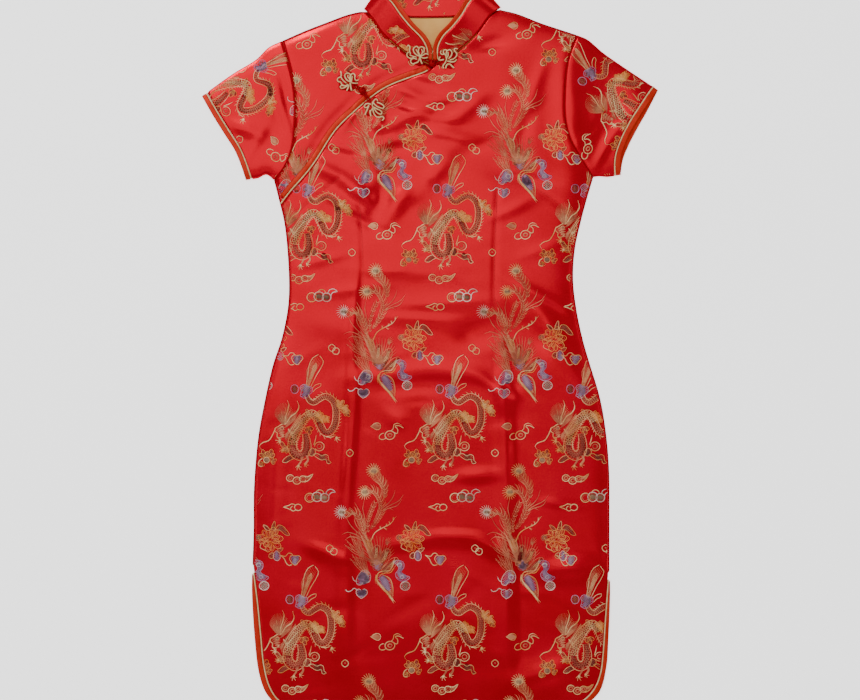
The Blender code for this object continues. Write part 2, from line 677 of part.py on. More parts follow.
def knot(name, x, y, under):
    """A round knot, set down until it is a gap above what lies under it."""
    radii = np.linspace(0.0, 0.98, 14)[:, None] * np.full((1, 32), KNOT_RADIUS)
    plan = rings(x, y, radii)
    centre = under(plan[..., 0], plan[..., 1]) + np.sqrt(KNOT_RADIUS**2 - radii**2)
    ball = bmesh.new()
    bmesh.ops.create_uvsphere(ball, u_segments=12, v_segments=8, radius=KNOT_RADIUS * MM)
    mesh = bpy.data.meshes.new(name)
    ball.to_mesh(mesh)
    ball.free()
    mesh.shade_smooth()
    made = add_object(name, mesh, "red_satin")
    made.location = (x * MM, y * MM, (centre.max() + GAP) * MM)


def frogs():
    """The frog halves and the knots that close them."""
    bpy.context.view_layer.update()
    under = ground_under(
        ["front_panel", "front_shoulder", "collar", "collar_binding", "collar_piping",
         "placket_binding", "placket_piping", "neck_lining"]
    )
    for row in FROGS:
        frog_half(*row, under)
    for row in KNOTS:
        knot(*row, under)


def main():
    """Clears the scene and builds every piece of the dress."""
    for old in list(bpy.data.objects):
        bpy.data.objects.remove(old, do_unlink=True)
    dress = bpy.data.collections.new("cheongsam_dress")
    bpy.context.scene.collection.children.link(dress)
    main_front()
    under_front()
    back()
    sleeve("left")
    sleeve("right")
    collar()
    lining()
    placket_trim()
    hem_trim()
    frogs()


main()
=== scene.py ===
"""The looks of a cheongsam dress that lies flat, front side up.

Plan positions are in millimetres in the dress's own frame: +X to the right, +Y towards
the neck, +Z up from the surface that it lies on. Every cloth piece is a thin shell on
the form of its solid, and the brocade's threads are narrow ribbons laid on the cloth.
"""

import logging
import math
from collections.abc import Callable, Sequence
from dataclasses import dataclass, field
from enum import Enum
from functools import cached_property

import bpy
import numpy as np
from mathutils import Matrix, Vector


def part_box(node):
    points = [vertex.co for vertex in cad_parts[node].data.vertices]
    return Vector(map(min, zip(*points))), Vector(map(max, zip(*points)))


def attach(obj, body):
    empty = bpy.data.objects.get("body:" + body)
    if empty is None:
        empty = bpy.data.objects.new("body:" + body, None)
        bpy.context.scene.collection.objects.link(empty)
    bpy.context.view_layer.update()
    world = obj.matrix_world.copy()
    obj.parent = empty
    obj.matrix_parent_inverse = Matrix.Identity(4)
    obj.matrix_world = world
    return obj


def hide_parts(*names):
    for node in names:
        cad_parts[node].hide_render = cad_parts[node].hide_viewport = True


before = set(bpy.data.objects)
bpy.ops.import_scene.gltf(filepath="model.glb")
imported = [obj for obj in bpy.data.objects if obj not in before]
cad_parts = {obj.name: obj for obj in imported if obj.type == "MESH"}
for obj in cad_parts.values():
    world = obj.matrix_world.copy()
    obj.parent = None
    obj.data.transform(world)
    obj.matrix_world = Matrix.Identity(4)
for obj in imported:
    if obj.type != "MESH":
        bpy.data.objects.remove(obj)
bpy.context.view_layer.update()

LOG = logging.getLogger("cheongsam")
Array = np.ndarray
Point = tuple[float, float]
Triple = tuple[float, float, float]
Rows = Sequence[tuple[float, ...]]
Height = Callable[[Array, Array], Array]
Place = Callable[[Array, Array], tuple[Array, Array]]
Piece = bpy.types.Object
MM = 0.001

# Cloth and sewing sizes, in millimetres.
CLOTH = 1.1
SEAM = 0.2
SIDE_INSET = 2.0
PIPING_RADIUS = 0.85
PIPING_GAP = 1.0
PIPING_SINK = 0.35
CUFF_BAND = 7.0
COLLAR_BAND = 6.2
PLACKET_BAND = 6.5
FLAP_UNDER = 32.0
FOLD_REACH = 1.4
FOLD_TOP = 3.0
SLEEVE_ROLL = 7.0

# Heights of the front's upper face.
EDGE_TOP = 2.7
FULL_TOP = 5.1
ROLL = 9.0
FLAP_STEP = 1.8
FLAP_STEP_WIDTH = 3.0
FLAP_END = (-190.0, 190.0)
FLAP_END_REACH = 58.0
FLAP_END_SOFT = 7.0
FLAP_BELOW = FLAP_UNDER + 4.0
FLAP_BELOW_SOFT = 5.0
NECK_CENTRE = (3.0, 372.0)
NECK_REACH = 75.0
NECK_RISE = 1.2

# The outline, as x and y of points along each edge, left as seen from the front.
SHOULDER_LEFT = [(-82, 425), (-103.5, 420), (-125, 412), (-156, 400), (-184.4, 387.5)]
SHOULDER_RIGHT = [(87.5, 426.5), (109.5, 421), (137.5, 410), (160, 402.5), (183.5, 394.8)]
ARMHOLE_LEFT = [
    (-184.4, 387.5), (-175, 355), (-169.5, 328), (-168.5, 292), (-172, 255), (-181.5, 230),
    (-195, 213.5),
]
ARMHOLE_RIGHT = [
    (183.5, 394.8), (172, 363), (167.6, 322), (168.2, 292), (175.5, 264), (190, 239), (204, 217),
]
SLEEVE_TOP_LEFT = [(-184.4, 387.5), (-202, 379), (-217.5, 364), (-247.5, 345.5), (-285, 318.5)]
SLEEVE_TOP_RIGHT = [(183.5, 394.8), (197, 389), (216.5, 372.5), (240, 356), (285, 326)]
UNDERARM_LEFT = [(-195, 213.5), (-204, 219.8), (-214, 215.8), (-229.9, 213.5)]
UNDERARM_RIGHT = [(204, 217), (211, 217.8), (221.5, 217.2), (238.4, 220)]
CUFF_LEFT = [
    (-285, 318.5), (-270.3, 292.8), (-256.1, 270), (-243.9, 250.8), (-235.5, 231), (-229.9, 213.5),
]
CUFF_RIGHT = [(285, 326), (271.6, 300), (260, 279.5), (249.5, 259.5), (241.5, 240), (238.4, 220)]
SIDE_LEFT = [
    (-195, 213.5), (-188.1, 186.3), (-181.6, 157.5), (-176.3, 91.3), (-177.5, 55), (-185.5, 15),
    (-196.3, -17.5), (-208.8, -73.8), (-215, -110), (-220, -171.3), (-220.5, -225), (-221.8, -266),
]
SIDE_RIGHT = [
    (204, 217), (195, 186.3), (188.1, 160), (181.3, 128.8), (178.8, 91.3), (182.5, 55),
    (190.8, 15), (198.8, -13.1), (212.5, -58.8), (220, -102.5), (223.8, -147.5), (224.3, -201.3),
    (224.2, -275),
]
SLIT_LEFT = [
    (-221.8, -266), (-222.5, -297.5), (-218.8, -361.3), (-213.8, -401.3), (-206, -425),
    (-193.5, -441.5),
]
SLIT_RIGHT = [
    (224.2, -275), (225, -297.5), (222.8, -361.3), (220.5, -393.8), (212.5, -424), (197, -441.5),
]
HEM = [
    (-193.5, -441.5), (-178, -449), (-150, -451.1), (-75, -451.2), (0, -451.2), (75, -451.2),
    (150, -451.1), (181, -449), (197, -441.5),
]
# The piping line down the left slit, along the hem and up the right slit.
HEM_PIPING = [
    (-221.3, -268.8), (-215.5, -313.8), (-211.5, -353.8), (-207.3, -393.8), (-200.5, -419),
    (-189.5, -435.5), (-174, -442.8), (-150, -444.3), (-75, -444.3), (0, -444.3), (75, -444.3),
    (150, -444.3), (176.5, -442.8), (192.5, -435.5), (206, -420.6), (213.2, -401.3),
    (216.2, -377.5), (219.5, -330), (223.5, -277.5),
]
HEM_CORNERS = [(-189.5, -435.5), (192.5, -435.5)]
NECK_FRONT_LEFT = [
    (3.2, 356.5), (-12.5, 362), (-28.8, 371), (-38, 378), (-49.6, 386.9), (-58.5, 394.4),
    (-70, 411.5), (-82, 425),
]
NECK_FRONT_RIGHT = [
    (3.2, 356.5), (20, 363), (35.8, 374.3), (52.5, 388.5), (64.1, 402), (75.9, 418), (87.5, 426.5),
]
NECK_BACK = [
    (-82, 425), (-56, 419.4), (-25, 416.8), (2.5, 416.6), (32.5, 417.6), (62.5, 421),
    (87.5, 426.5),
]
# The slanting edge of the main front, along its piping, from the neck to the side.
PLACKET = [
    (3.2, 354), (-7.9, 347.5), (-24.5, 341.6), (-44.6, 334.1), (-59.8, 326.6), (-74, 316.5),
    (-91.5, 301.5), (-117.5, 276.4), (-145.7, 233.1), (-159.8, 215.6), (-173.8, 199.9),
    (-186, 184.4),
]
# Where that edge runs on past the side, for the under front's step.
PLACKET_RUN_ON = (-191.0, 178.0)
SLEEVE_FOLDS = (SLEEVE_TOP_LEFT, SLEEVE_TOP_RIGHT, UNDERARM_LEFT, UNDERARM_RIGHT)
# Sections of the collar from the front's left end, over the left shoulder and round
# the back to the right end: x, y, z of the seam point, then x, y, z of the top edge.
COLLAR_SECTIONS = [
    (-10.5, 362.2, 6.8, 2.6, 362.8, 8.4), (-20.5, 366.8, 6.8, 2.3, 377, 10.6),
    (-34.5, 375.9, 6.7, -4.6, 391.3, 14), (-49.2, 387.6, 6.4, -19.5, 406.5, 16.5),
    (-60.5, 398.5, 6, -32, 421.5, 17.6), (-70, 412.6, 5.4, -44.6, 438.8, 17.4),
    (-77.5, 422, 4.9, -56.5, 447.8, 15.6), (-82.6, 427.2, 2.6, -65.8, 450.6, 8.6),
    (-77, 424.8, 0.2, -58, 450.9, 1.2), (-56, 419.9, 0, -46, 451, 0),
    (-25, 417.3, 0, -21, 451.1, 0), (2.5, 417.1, 0, 2.5, 451.2, 0), (32.5, 418.1, 0, 26, 451.2, 0),
    (62.5, 421.5, 0, 49, 451, 0), (82.5, 426.8, 0.2, 60.5, 450.9, 1.2),
    (88.6, 429.2, 2.6, 68, 450.6, 8.6), (83, 424.6, 4.9, 58.5, 447.8, 15.6),
    (75.2, 418.8, 5.4, 45.8, 438.8, 17.4), (63.4, 402.6, 6, 34.6, 421, 17.6),
    (52, 389.2, 6.4, 23.4, 407, 16.5), (37.5, 376.6, 6.7, 10.6, 394, 14),
    (25.5, 366.9, 6.8, 4.3, 380, 10.6), (16.5, 362.4, 6.8, 4, 362.8, 8.4),
]
# The largest folds, as in the solids: x, y, turn in degrees, length, width, height.
FOLDS = [
    (-108, -70, 84, 210, 20, -0.8), (-112, -290, 90, 260, 22, -0.7), (100, -80, 94, 220, 20, -0.8),
    (98, -300, 90, 260, 22, -0.7), (0, -35, 2, 150, 16, -0.9), (-40, -62, -6, 160, 14, 0.8),
    (95, 15, 12, 90, 14, 0.8), (-120, 30, -14, 80, 14, 0.7), (35, 105, -28, 120, 22, 0.8),
    (-60, 95, 24, 110, 20, 0.7), (60, 215, -40, 130, 24, 0.8), (-20, 285, 30, 120, 14, -0.7),
    (110, 300, -70, 110, 22, 0.7), (-60, -180, 30, 150, 26, 0.7), (60, -215, -24, 170, 26, 0.8),
    (-10, -340, 8, 220, 30, 0.8), (155, -180, 78, 180, 20, 0.6), (-170, -200, 98, 190, 20, 0.6),
    (-212, 300, 62, 90, 18, 0.7), (-196, 262, 80, 80, 10, -0.8), (212, 280, -52, 100, 16, 0.9),
    (196, 330, -78, 90, 12, -0.8),
]
# Creases of the satin itself, with the same columns: across the waist, below the
# darts, over the skirt, round the neck and bust, and on the sleeves.
CREASES = [
    (-55, -31, 5, 100, 12, 1.2), (35, -27, -5, 100, 12, 1.2), (85, -48, -32, 60, 7, 1.2),
    (88, -60, -50, 40, 12, 1.2), (62, 22, 8, 60, 16, -1.3), (118, 20, -14, 74, 18, -1.4),
    (160, 10, -58, 90, 12, 1.2), (-98, 20, 86, 150, 6, 1.4), (-99, -110, 86, 210, 8, 1.8),
    (-108, -330, 90, 260, 12, 1.1), (-86, -330, 89, 270, 13, -0.9), (94, -115, 92, 210, 9, 1.5),
    (96, -330, 90, 260, 12, 1.2), (114, -320, 91, 270, 13, -1), (-190, -150, 87, 260, 13, 1.5),
    (-118, 256, -14, 50, 5, 0.9), (-112, 246, -16, 46, 5, -0.8), (-70, 250, 30, 50, 6, 0.8),
    (-58, 226, -30, 44, 6, -0.8), (-40, 264, 6, 60, 5, 0.8), (-46, 251, 4, 54, 5, -0.8),
    (-20, 298, -6, 60, 5, 0.8), (-8, 344, -14, 46, 6, 0.9), (132, 330, 70, 70, 8, 0.6),
    (116, 268, 74, 60, 8, -0.6), (-202, -60, 78, 150, 7, 1), (60, -155, 4, 60, 8, 1.1),
    (162, -190, -6, 60, 4, 1), (-25, -238, 8, 60, 8, 1.1), (30, -232, -3, 70, 9, 1.3),
    (80, -246, -26, 52, 9, 1.5), (-132, -250, -24, 52, 9, 1.5), (-100, -258, 0, 40, 6, 0.8),
    (188, -270, 4, 80, 13, 3.4), (150, -402, 18, 100, 16, 2.6), (-150, -432, 6, 70, 8, 1.2),
    (80, -432, 40, 40, 6, 0.9), (76, 384, 14, 50, 9, -1.7), (-146, 399, 24, 52, 10, 1.4),
    (-104, 376, 30, 60, 9, -0.7), (-25, 322, -20, 40, 5, 0.9), (-34, 306, -26, 46, 5, -0.9),
    (-97, 298, 62, 50, 6, 1), (-62, 298, 82, 50, 5, 1), (-130, 226, -24, 62, 9, 1.7),
    (-88, 198, -35, 54, 9, 1.6), (-25, 194, 8, 44, 11, 0.6), (8, 244, 4, 40, 9, 0.5),
    (178, 300, 92, 150, 20, 0.75), (20, 315, 6, 60, 6, 0.9), (10, 290, -2, 70, 6, 0.9),
    (25, 270, -12, 80, 7, 0.8), (-66, 286, -34, 60, 9, 1.1), (60, 255, 16, 70, 9, -0.7),
    (-100, 178, -32, 70, 7, 1.5), (-84, 164, -30, 60, 7, -1.4), (-62, 190, 70, 70, 12, -1.2),
    (-50, 100, -4, 90, 7, 0.6), (-100, 76, 8, 80, 6, 0.6), (-140, 112, 14, 70, 6, 0.7),
    (120, 214, -8, 70, 7, -0.9), (105, 178, 24, 60, 6, 0.8), (150, 130, 18, 70, 6, 0.8),
    (140, 68, -26, 80, 6, 1), (158, 52, -30, 60, 5, -0.8), (-42, -84, -20, 50, 12, 0.8),
    (-30, 290, 22, 60, 9, 1.2), (8, 224, 42, 50, 11, 1.1), (-40, 184, 62, 50, 10, 1.1),
    (44, 300, 34, 60, 9, 0.9), (20, 60, 3, 130, 8, 0.7), (-20, 40, -3, 110, 7, 0.7),
    (-194, 312, 110, 90, 7, -0.7), (-186, 300, 108, 80, 5, 0.8), (-180, 320, 104, 80, 5, -1),
    (-230, 277, -22, 56, 9, 1.4), (-222, 250, 60, 60, 6, 0.9), (222, 300, 80, 130, 24, -0.85),
    (196, 330, -84, 90, 6, 0.3), (196, 270, 44, 50, 5, 0.5), (228, 268, 52, 70, 6, 0.6),
    (212, 240, 60, 50, 5, 1),
]
DARTS = [
    [(-88.5, 196), (-83.5, 108), (-86.5, 26), (-89, -19)],
    [(84, 199), (81, 134), (80, 70), (82.5, -24)], [(-181.6, 157.5), (-150, 186), (-113, 216)],
    [(187, 160), (155, 188), (118, 211)],
]
# Frog halves: name, x and y of the middle, and turn towards the knot in degrees.
FROGS = [
    ("frog_collar_left", -15.6, 368.5, -38), ("frog_collar_right", 21.6, 364.5, 186),
    ("frog_chest_upper", -103, 336, -30), ("frog_chest_lower", -70.5, 304, 122),
]


# Plan geometry.


def run_steps(points: Array) -> Array:
    """Length along a polyline up to each of its points."""
    chords = np.linalg.norm(np.diff(points, axis=0), axis=1)
    return np.concatenate([[0.0], np.cumsum(chords)])


def read_along(points: Array, along: Array, wanted: Array) -> Array:
    """Points of a polyline at the wanted lengths along it."""
    return np.stack([np.interp(wanted, along, axis) for axis in points.T], axis=1)


def even_points(points: Array, count: int, trim: float = 0.0) -> Array:
    """Points at equal steps of length along a polyline.

    Args:
        points: the polyline.
        count: how many points.
        trim: how much is cut off each of its ends.

    Returns:
        The new points, the first and the last at the ends.
    """
    along = run_steps(points)
    return read_along(points, along, np.linspace(trim, along[-1] - trim, count))


def unit(vectors: Array) -> Array:
    """The vectors at length one."""
    return vectors / np.linalg.norm(vectors, axis=-1)[..., None]


def unit_run(points: Array) -> Array:
    """Unit vectors along a curve, at its points."""
    return unit(np.gradient(points, axis=0))


def leftward(run: Array) -> Array:
    """Plan vectors turned by a quarter to the left."""
    return np.stack([-run[..., 1], run[..., 0]], axis=-1)


def cos_sin(degrees: float) -> tuple[float, float]:
    """Cosine and sine of an angle."""
    return math.cos(math.radians(degrees)), math.sin(math.radians(degrees))


def smooth_curve(rows: Rows, count: int) -> Array:
    """Even points on a smooth curve through the rows.

    A cubic Hermite curve, whose slope at each row is the central difference over the
    square roots of the chords.

    Args:
        rows: points along the curve, in any number of dimensions.
        count: how many points.

    Returns:
        The points, from the first row to the last.
    """
    knots = np.array(rows, float)
    chords = np.linalg.norm(np.diff(knots, axis=0), axis=1)
    at = np.concatenate([[0.0], np.cumsum(np.sqrt(chords))])
    slope = np.gradient(knots, at, axis=0)
    fine = np.linspace(0.0, at[-1], 16 * len(knots))
    i = np.clip(np.searchsorted(at, fine, side="right") - 1, 0, len(knots) - 2)
    span = (at[i + 1] - at[i])[:, None]
    f = (fine - at[i])[:, None] / span
    dense = (
        (2 * f**3 - 3 * f**2 + 1) * knots[i] + (f**3 - 2 * f**2 + f) * span * slope[i]
        + (3 * f**2 - 2 * f**3) * knots[i + 1] + (f**3 - f**2) * span * slope[i + 1]
    )
    return even_points(dense, count)


def moved_aside(points: Array, distance: float | Array) -> Array:
    """A plan curve moved to its left by the distance, or to its right if negative."""
    return points + leftward(unit_run(points)) * np.reshape(distance, (-1, 1))


def beside(rows: Rows, count: int, distance: float) -> Array:
    """Even points on a smooth plan curve through the rows, moved aside."""
    return moved_aside(smooth_curve(rows, count), distance)


def chain(*curves: Array) -> Array:
    """Curves joined end to end, without the points that they share."""
    return np.concatenate([curves[0]] + [curve[1:] for curve in curves[1:]])


def patch(top: Array, bottom: Array, left: Array, right: Array) -> Array:
    """A Coons patch: the two ruled surfaces between the edges, less the corners' own.

    Args:
        top: points of the first row, left to right.
        bottom: points of the last row, as many as in top.
        left: points of the first column, top to bottom.
        right: points of the last column, as many as in left.

    Returns:
        A grid of points, rows by columns by coordinates.
    """
    u = np.linspace(0.0, 1.0, len(top))[None, :, None]
    v = np.linspace(0.0, 1.0, len(left))[:, None, None]
    ruled = (1 - v) * top + v * bottom + (1 - u) * left[:, None] + u * right[:, None]
    corners = (1 - v) * ((1 - u) * top[0] + u * top[-1])
    return ruled - (corners + v * ((1 - u) * bottom[0] + u * bottom[-1]))


def line_distance(x: Array, y: Array, lines: Sequence[Rows | Array]) -> Array:
    """Distance in plan from each point to the nearest of the polylines.

    Args:
        x: plan x of the points.
        y: plan y of the points.
        lines: the polylines.

    Returns:
        The distance for each point.
    """
    nearest = np.full(np.shape(x), np.inf)
    for line in lines:
        for (ax, ay), (bx, by) in zip(line[:-1], line[1:]):
            dx, dy = bx - ax, by - ay
            f = np.clip(((x - ax) * dx + (y - ay) * dy) / (dx * dx + dy * dy), 0, 1)
            nearest = np.minimum(nearest, np.hypot(x - ax - f * dx, y - ay - f * dy))
    return nearest


def trimmed(points: Array, distance: float) -> Array:
    """A curve with this much cut off each of its ends."""
    return even_points(points, len(points), distance)


def stretch(line: Array, first: Array, last: Array, count: int) -> Array:
    """Even points along the part of a line that lies between two ends near it."""
    a, b = sorted(np.argmin(np.hypot(*(line - end).T)) for end in (first, last))
    return even_points(np.concatenate([first[None], line[a + 1 : b], last[None]]), count)


def inside_outline(x: Array, y: Array, outline: Array) -> Array:
    """True where a plan point lies in a closed outline, by counting its crossings.

    Args:
        x: plan x of the points.
        y: plan y of the points.
        outline: its corners in order.

    Returns:
        Whether each point lies inside.
    """
    found = np.zeros(np.shape(x), bool)
    for (ax, ay), (bx, by) in zip(outline, np.roll(outline, -1, axis=0)):
        if ay != by:
            crosses = (ay > y) != (by > y)
            found ^= crosses & (x < (bx - ax) * (y - ay) / (by - ay) + ax)
    return found


def soft_step(distance: Array, width: float) -> Array:
    """A smooth step from 0 to 1 as the distance passes zero: a logistic curve."""
    return 1 / (1 + np.exp(-np.clip(distance / width, -30, 30)))


def lifted(plan: Array, height: Height | float) -> Array:
    """Plan points with their height from a height function or a constant."""
    z = height(plan[..., 0], plan[..., 1]) if callable(height) else height
    return np.concatenate([plan, np.broadcast_to(z, plan.shape[:-1])[..., None]], axis=-1)


def half_sine(count: int) -> Array:
    """A bow from 0 over 1 to 0, in even steps."""
    return np.sin(math.pi * np.linspace(0.0, 1.0, count))


# Cloth form.


@dataclass(frozen=True)
class Fold:
    """A soft ridge or trough: a bell across its width and along its length."""

    x: float
    y: float
    turn: float
    length: float
    width: float
    height: float

    def lift(self, x: Array, y: Array) -> Array:
        """Height added at plan points: height * exp(-(2a/length)^2 - (b/width)^2).

        Args:
            x: plan x.
            y: plan y.

        Returns:
            The height that the fold adds.
        """
        c, s = cos_sin(self.turn)
        along = ((x - self.x) * c + (y - self.y) * s) / (0.5 * self.length)
        across = ((y - self.y) * c - (x - self.x) * s) / self.width
        return self.height * np.exp(-(along**2) - across**2)


@dataclass(frozen=True)
class Relief:
    """A height function kept as a raster, so that fine grids can read it quickly."""

    heights: Array
    corner: tuple[float, float]
    step: float

    def __call__(self, x: Array, y: Array) -> Array:
        """Height at plan points, bilinear between the raster's own.

        Args:
            x: plan x.
            y: plan y.

        Returns:
            The height.
        """
        rows, columns = self.heights.shape
        col = np.clip((x - self.corner[0]) / self.step, 0, columns - 1.001)
        row = np.clip((y - self.corner[1]) / self.step, 0, rows - 1.001)
        i, j = row.astype(int), col.astype(int)
        f, g = row - i, col - j
        low = self.heights[i, j] * (1 - g) + self.heights[i, j + 1] * g
        high = self.heights[i + 1, j] * (1 - g) + self.heights[i + 1, j + 1] * g
        return low * (1 - f) + high * f


@dataclass(frozen=True)
class DressForm:
    """How the cloth lies: the heights of its layers over the plan.

    Heights are kept at a raster's points. Grooves follow the armholes and darts, a
    crease's height grows with its width, ripples are small seeded folds, and rest says
    how softly the hollows come to lie on the layer beneath.
    """

    corner: tuple[float, float] = (-300.0, -460.0)
    size: tuple[float, float] = (600.0, 920.0)
    step: float = 1.25
    groove: float = 3.4
    seam_dip: float = 0.4
    dart_dip: float = 0.35
    fold_fade: float = 22.0
    open_share: float = 0.4
    crease_share: float = 0.9
    width_share: float = 0.1
    ripple_count: int = 150
    ripple_height: float = 0.32
    rest: float = 0.3

    def lines(self, *tables: Rows) -> list[Array]:
        """Each table as a smooth line of a few points."""
        return [smooth_curve(rows, 14) for rows in tables]

    def relief(self, heights: Array) -> Relief:
        """A height function from heights at the raster's points."""
        return Relief(heights, self.corner, self.step)

    @cached_property
    def folded_edges(self) -> list[Array]:
        """The edges where the front folds over into the back."""
        return self.lines(SHOULDER_LEFT, SHOULDER_RIGHT, *SLEEVE_FOLDS, SIDE_LEFT, SIDE_RIGHT)

    @cached_property
    def raster(self) -> tuple[Array, Array]:
        """Plan x and y of the raster's points."""
        return np.meshgrid(*(
            np.arange(0.0, reach, self.step) + start
            for reach, start in zip(self.size, self.corner)
        ))

    def ripples(self, x: Array, y: Array) -> Array:
        """Seeded small ripples, mostly across the dress, each a short low bell.

        Args:
            x: plan x.
            y: plan y.

        Returns:
            The height that they add.
        """
        chance = np.random.default_rng(7)
        total = np.zeros(x.shape)
        for _ in range(self.ripple_count):
            ripple = Fold(
                chance.uniform(-230, 230), chance.uniform(-440, 400), chance.normal(4, 24),
                chance.uniform(22, 75), chance.uniform(4.5, 10.0),
                self.ripple_height * chance.uniform(-1.6, 1.6),
            )
            total = total + ripple.lift(x, y)
        return total

    def front_height(self, x: Array, y: Array) -> Array:
        """Height of the front: low at its edges, full inside, with folds and seams.

        EDGE_TOP rises to FULL_TOP as 1 - exp(-d / ROLL), d being the distance from a
        folded edge. Folds fade in from the edge, seams and darts are bell grooves.
        Hollows stop softly over the back, and over the under front where it runs on
        beneath: floor + s log(1 + exp((height - floor) / s)).

        Args:
            x: plan x.
            y: plan y.

        Returns:
            The height of the upper face.
        """
        from_crease = line_distance(x, y, self.folded_edges) - SIDE_INSET
        from_open = self.open_share * line_distance(x, y, self.lines(SLIT_LEFT, SLIT_RIGHT, HEM))
        from_edge = np.maximum(np.minimum(from_crease, from_open), 0.0)
        inside = 1 - np.exp(-from_edge / ROLL)
        height = EDGE_TOP + (FULL_TOP - EDGE_TOP) * inside
        creases = sum(Fold(*row).lift(x, y) for row in FOLDS)
        for crease in (Fold(*row) for row in CREASES):
            share = self.crease_share + self.width_share * crease.width
            creases = creases + share * crease.lift(x, y)
        fade = 1 - np.exp(-from_edge / self.fold_fade)
        height = height + (creases + self.ripples(x, y)) * fade
        armholes = self.lines(ARMHOLE_LEFT, ARMHOLE_RIGHT)
        for lines, dip in ((armholes, self.seam_dip), (DARTS, self.dart_dip)):
            off = line_distance(x, y, lines) / self.groove
            height = height - dip * inside * np.exp(-(off**2))
        from_end = np.hypot(x - FLAP_END[0], y - FLAP_END[1])
        height = height + FLAP_STEP * soft_step(FLAP_END_REACH - from_end, FLAP_END_SOFT)
        from_neck = np.hypot(x - NECK_CENTRE[0], y - NECK_CENTRE[1]) / NECK_REACH
        height = height + NECK_RISE * np.exp(-(from_neck**2)) * inside
        from_slant = line_distance(x, y, self.lines(PLACKET))
        floor = EDGE_TOP + FLAP_STEP * soft_step(FLAP_BELOW - from_slant, FLAP_BELOW_SOFT)
        return floor + self.rest * np.logaddexp(0.0, (height - floor) / self.rest)

    @cached_property
    def front(self) -> Relief:
        """The front's upper face."""
        return self.relief(self.front_height(*self.raster))

    @cached_property
    def flap(self) -> Relief:
        """The under front's upper face, which dips under the slanting edge."""
        x, y = self.raster
        line = chain(smooth_curve(PLACKET, 40), np.array([PLACKET_RUN_ON]))
        outside = line_distance(x, y, [line])
        edge_y = np.interp(x, line[::-1, 0], line[::-1, 1])
        outside = np.where(y > edge_y, outside, -outside)
        from_step = PLACKET_BAND + 3 * FLAP_STEP_WIDTH - outside
        return self.relief(self.front.heights - FLAP_STEP * soft_step(from_step, FLAP_STEP_WIDTH))

    @cached_property
    def sleeve(self) -> Relief:
        """The sleeves' upper face, which rounds over into the fold at each edge."""
        from_fold = line_distance(*self.raster, self.lines(*SLEEVE_FOLDS))
        ease = np.sqrt(1 - np.exp(-from_fold / SLEEVE_ROLL))
        above = np.maximum(self.front.heights, FOLD_TOP) - FOLD_TOP
        return self.relief(FOLD_TOP + above * ease)


FORM = DressForm()


# Mesh making.


@dataclass
class Shape:
    """Points in millimetres, and faces as an array for each number of corners."""

    points: Array
    faces: list[Array]

    @staticmethod
    def joined(shapes: Sequence["Shape"]) -> "Shape":
        """One shape of several that stay apart.

        Args:
            shapes: the shapes.

        Returns:
            All of them as one.
        """
        starts = np.cumsum([0] + [len(shape.points) for shape in shapes])
        faces = [f + start for shape, start in zip(shapes, starts) for f in shape.faces]
        return Shape(np.concatenate([shape.points for shape in shapes]), faces)

    def mesh(self, name: str) -> bpy.types.Mesh:
        """The shape as a smooth mesh in metres, filled by foreach_set.

        Args:
            name: its name.

        Returns:
            The mesh.
        """
        mesh = bpy.data.meshes.new(name)
        corners = np.concatenate([f.ravel() for f in self.faces])
        sizes = np.concatenate([np.full(len(f), f.shape[1]) for f in self.faces])
        starts = np.concatenate([[0], np.cumsum(sizes)[:-1]])
        mesh.vertices.add(len(self.points))
        mesh.vertices.foreach_set("co", (self.points * MM).astype(np.float32).ravel())
        mesh.loops.add(len(corners))
        mesh.loops.foreach_set("vertex_index", corners.astype(np.int32))
        mesh.polygons.add(len(sizes))
        mesh.polygons.foreach_set("loop_start", starts.astype(np.int32))
        mesh.update(calc_edges=True)
        mesh.validate()
        mesh.shade_smooth()
        return mesh


def grid_faces(rows: int, columns: int, wraps: bool = False, down: bool = False) -> Array:
    """Quads of a grid whose rows run down the plan, facing up (or down).

    Args:
        rows: how many rows it has.
        columns: how many points a row has.
        wraps: whether each row closes on itself.
        down: whether the faces point down.

    Returns:
        The corners of each quad.
    """
    r = np.arange(rows - 1)[:, None] * columns
    c = np.arange(columns if wraps else columns - 1)[None, :]
    d = (c + 1) % columns
    quads = np.stack([r + c, r + columns + c, r + columns + d, r + d], axis=-1).reshape(-1, 4)
    return quads[:, ::-1] if down else quads


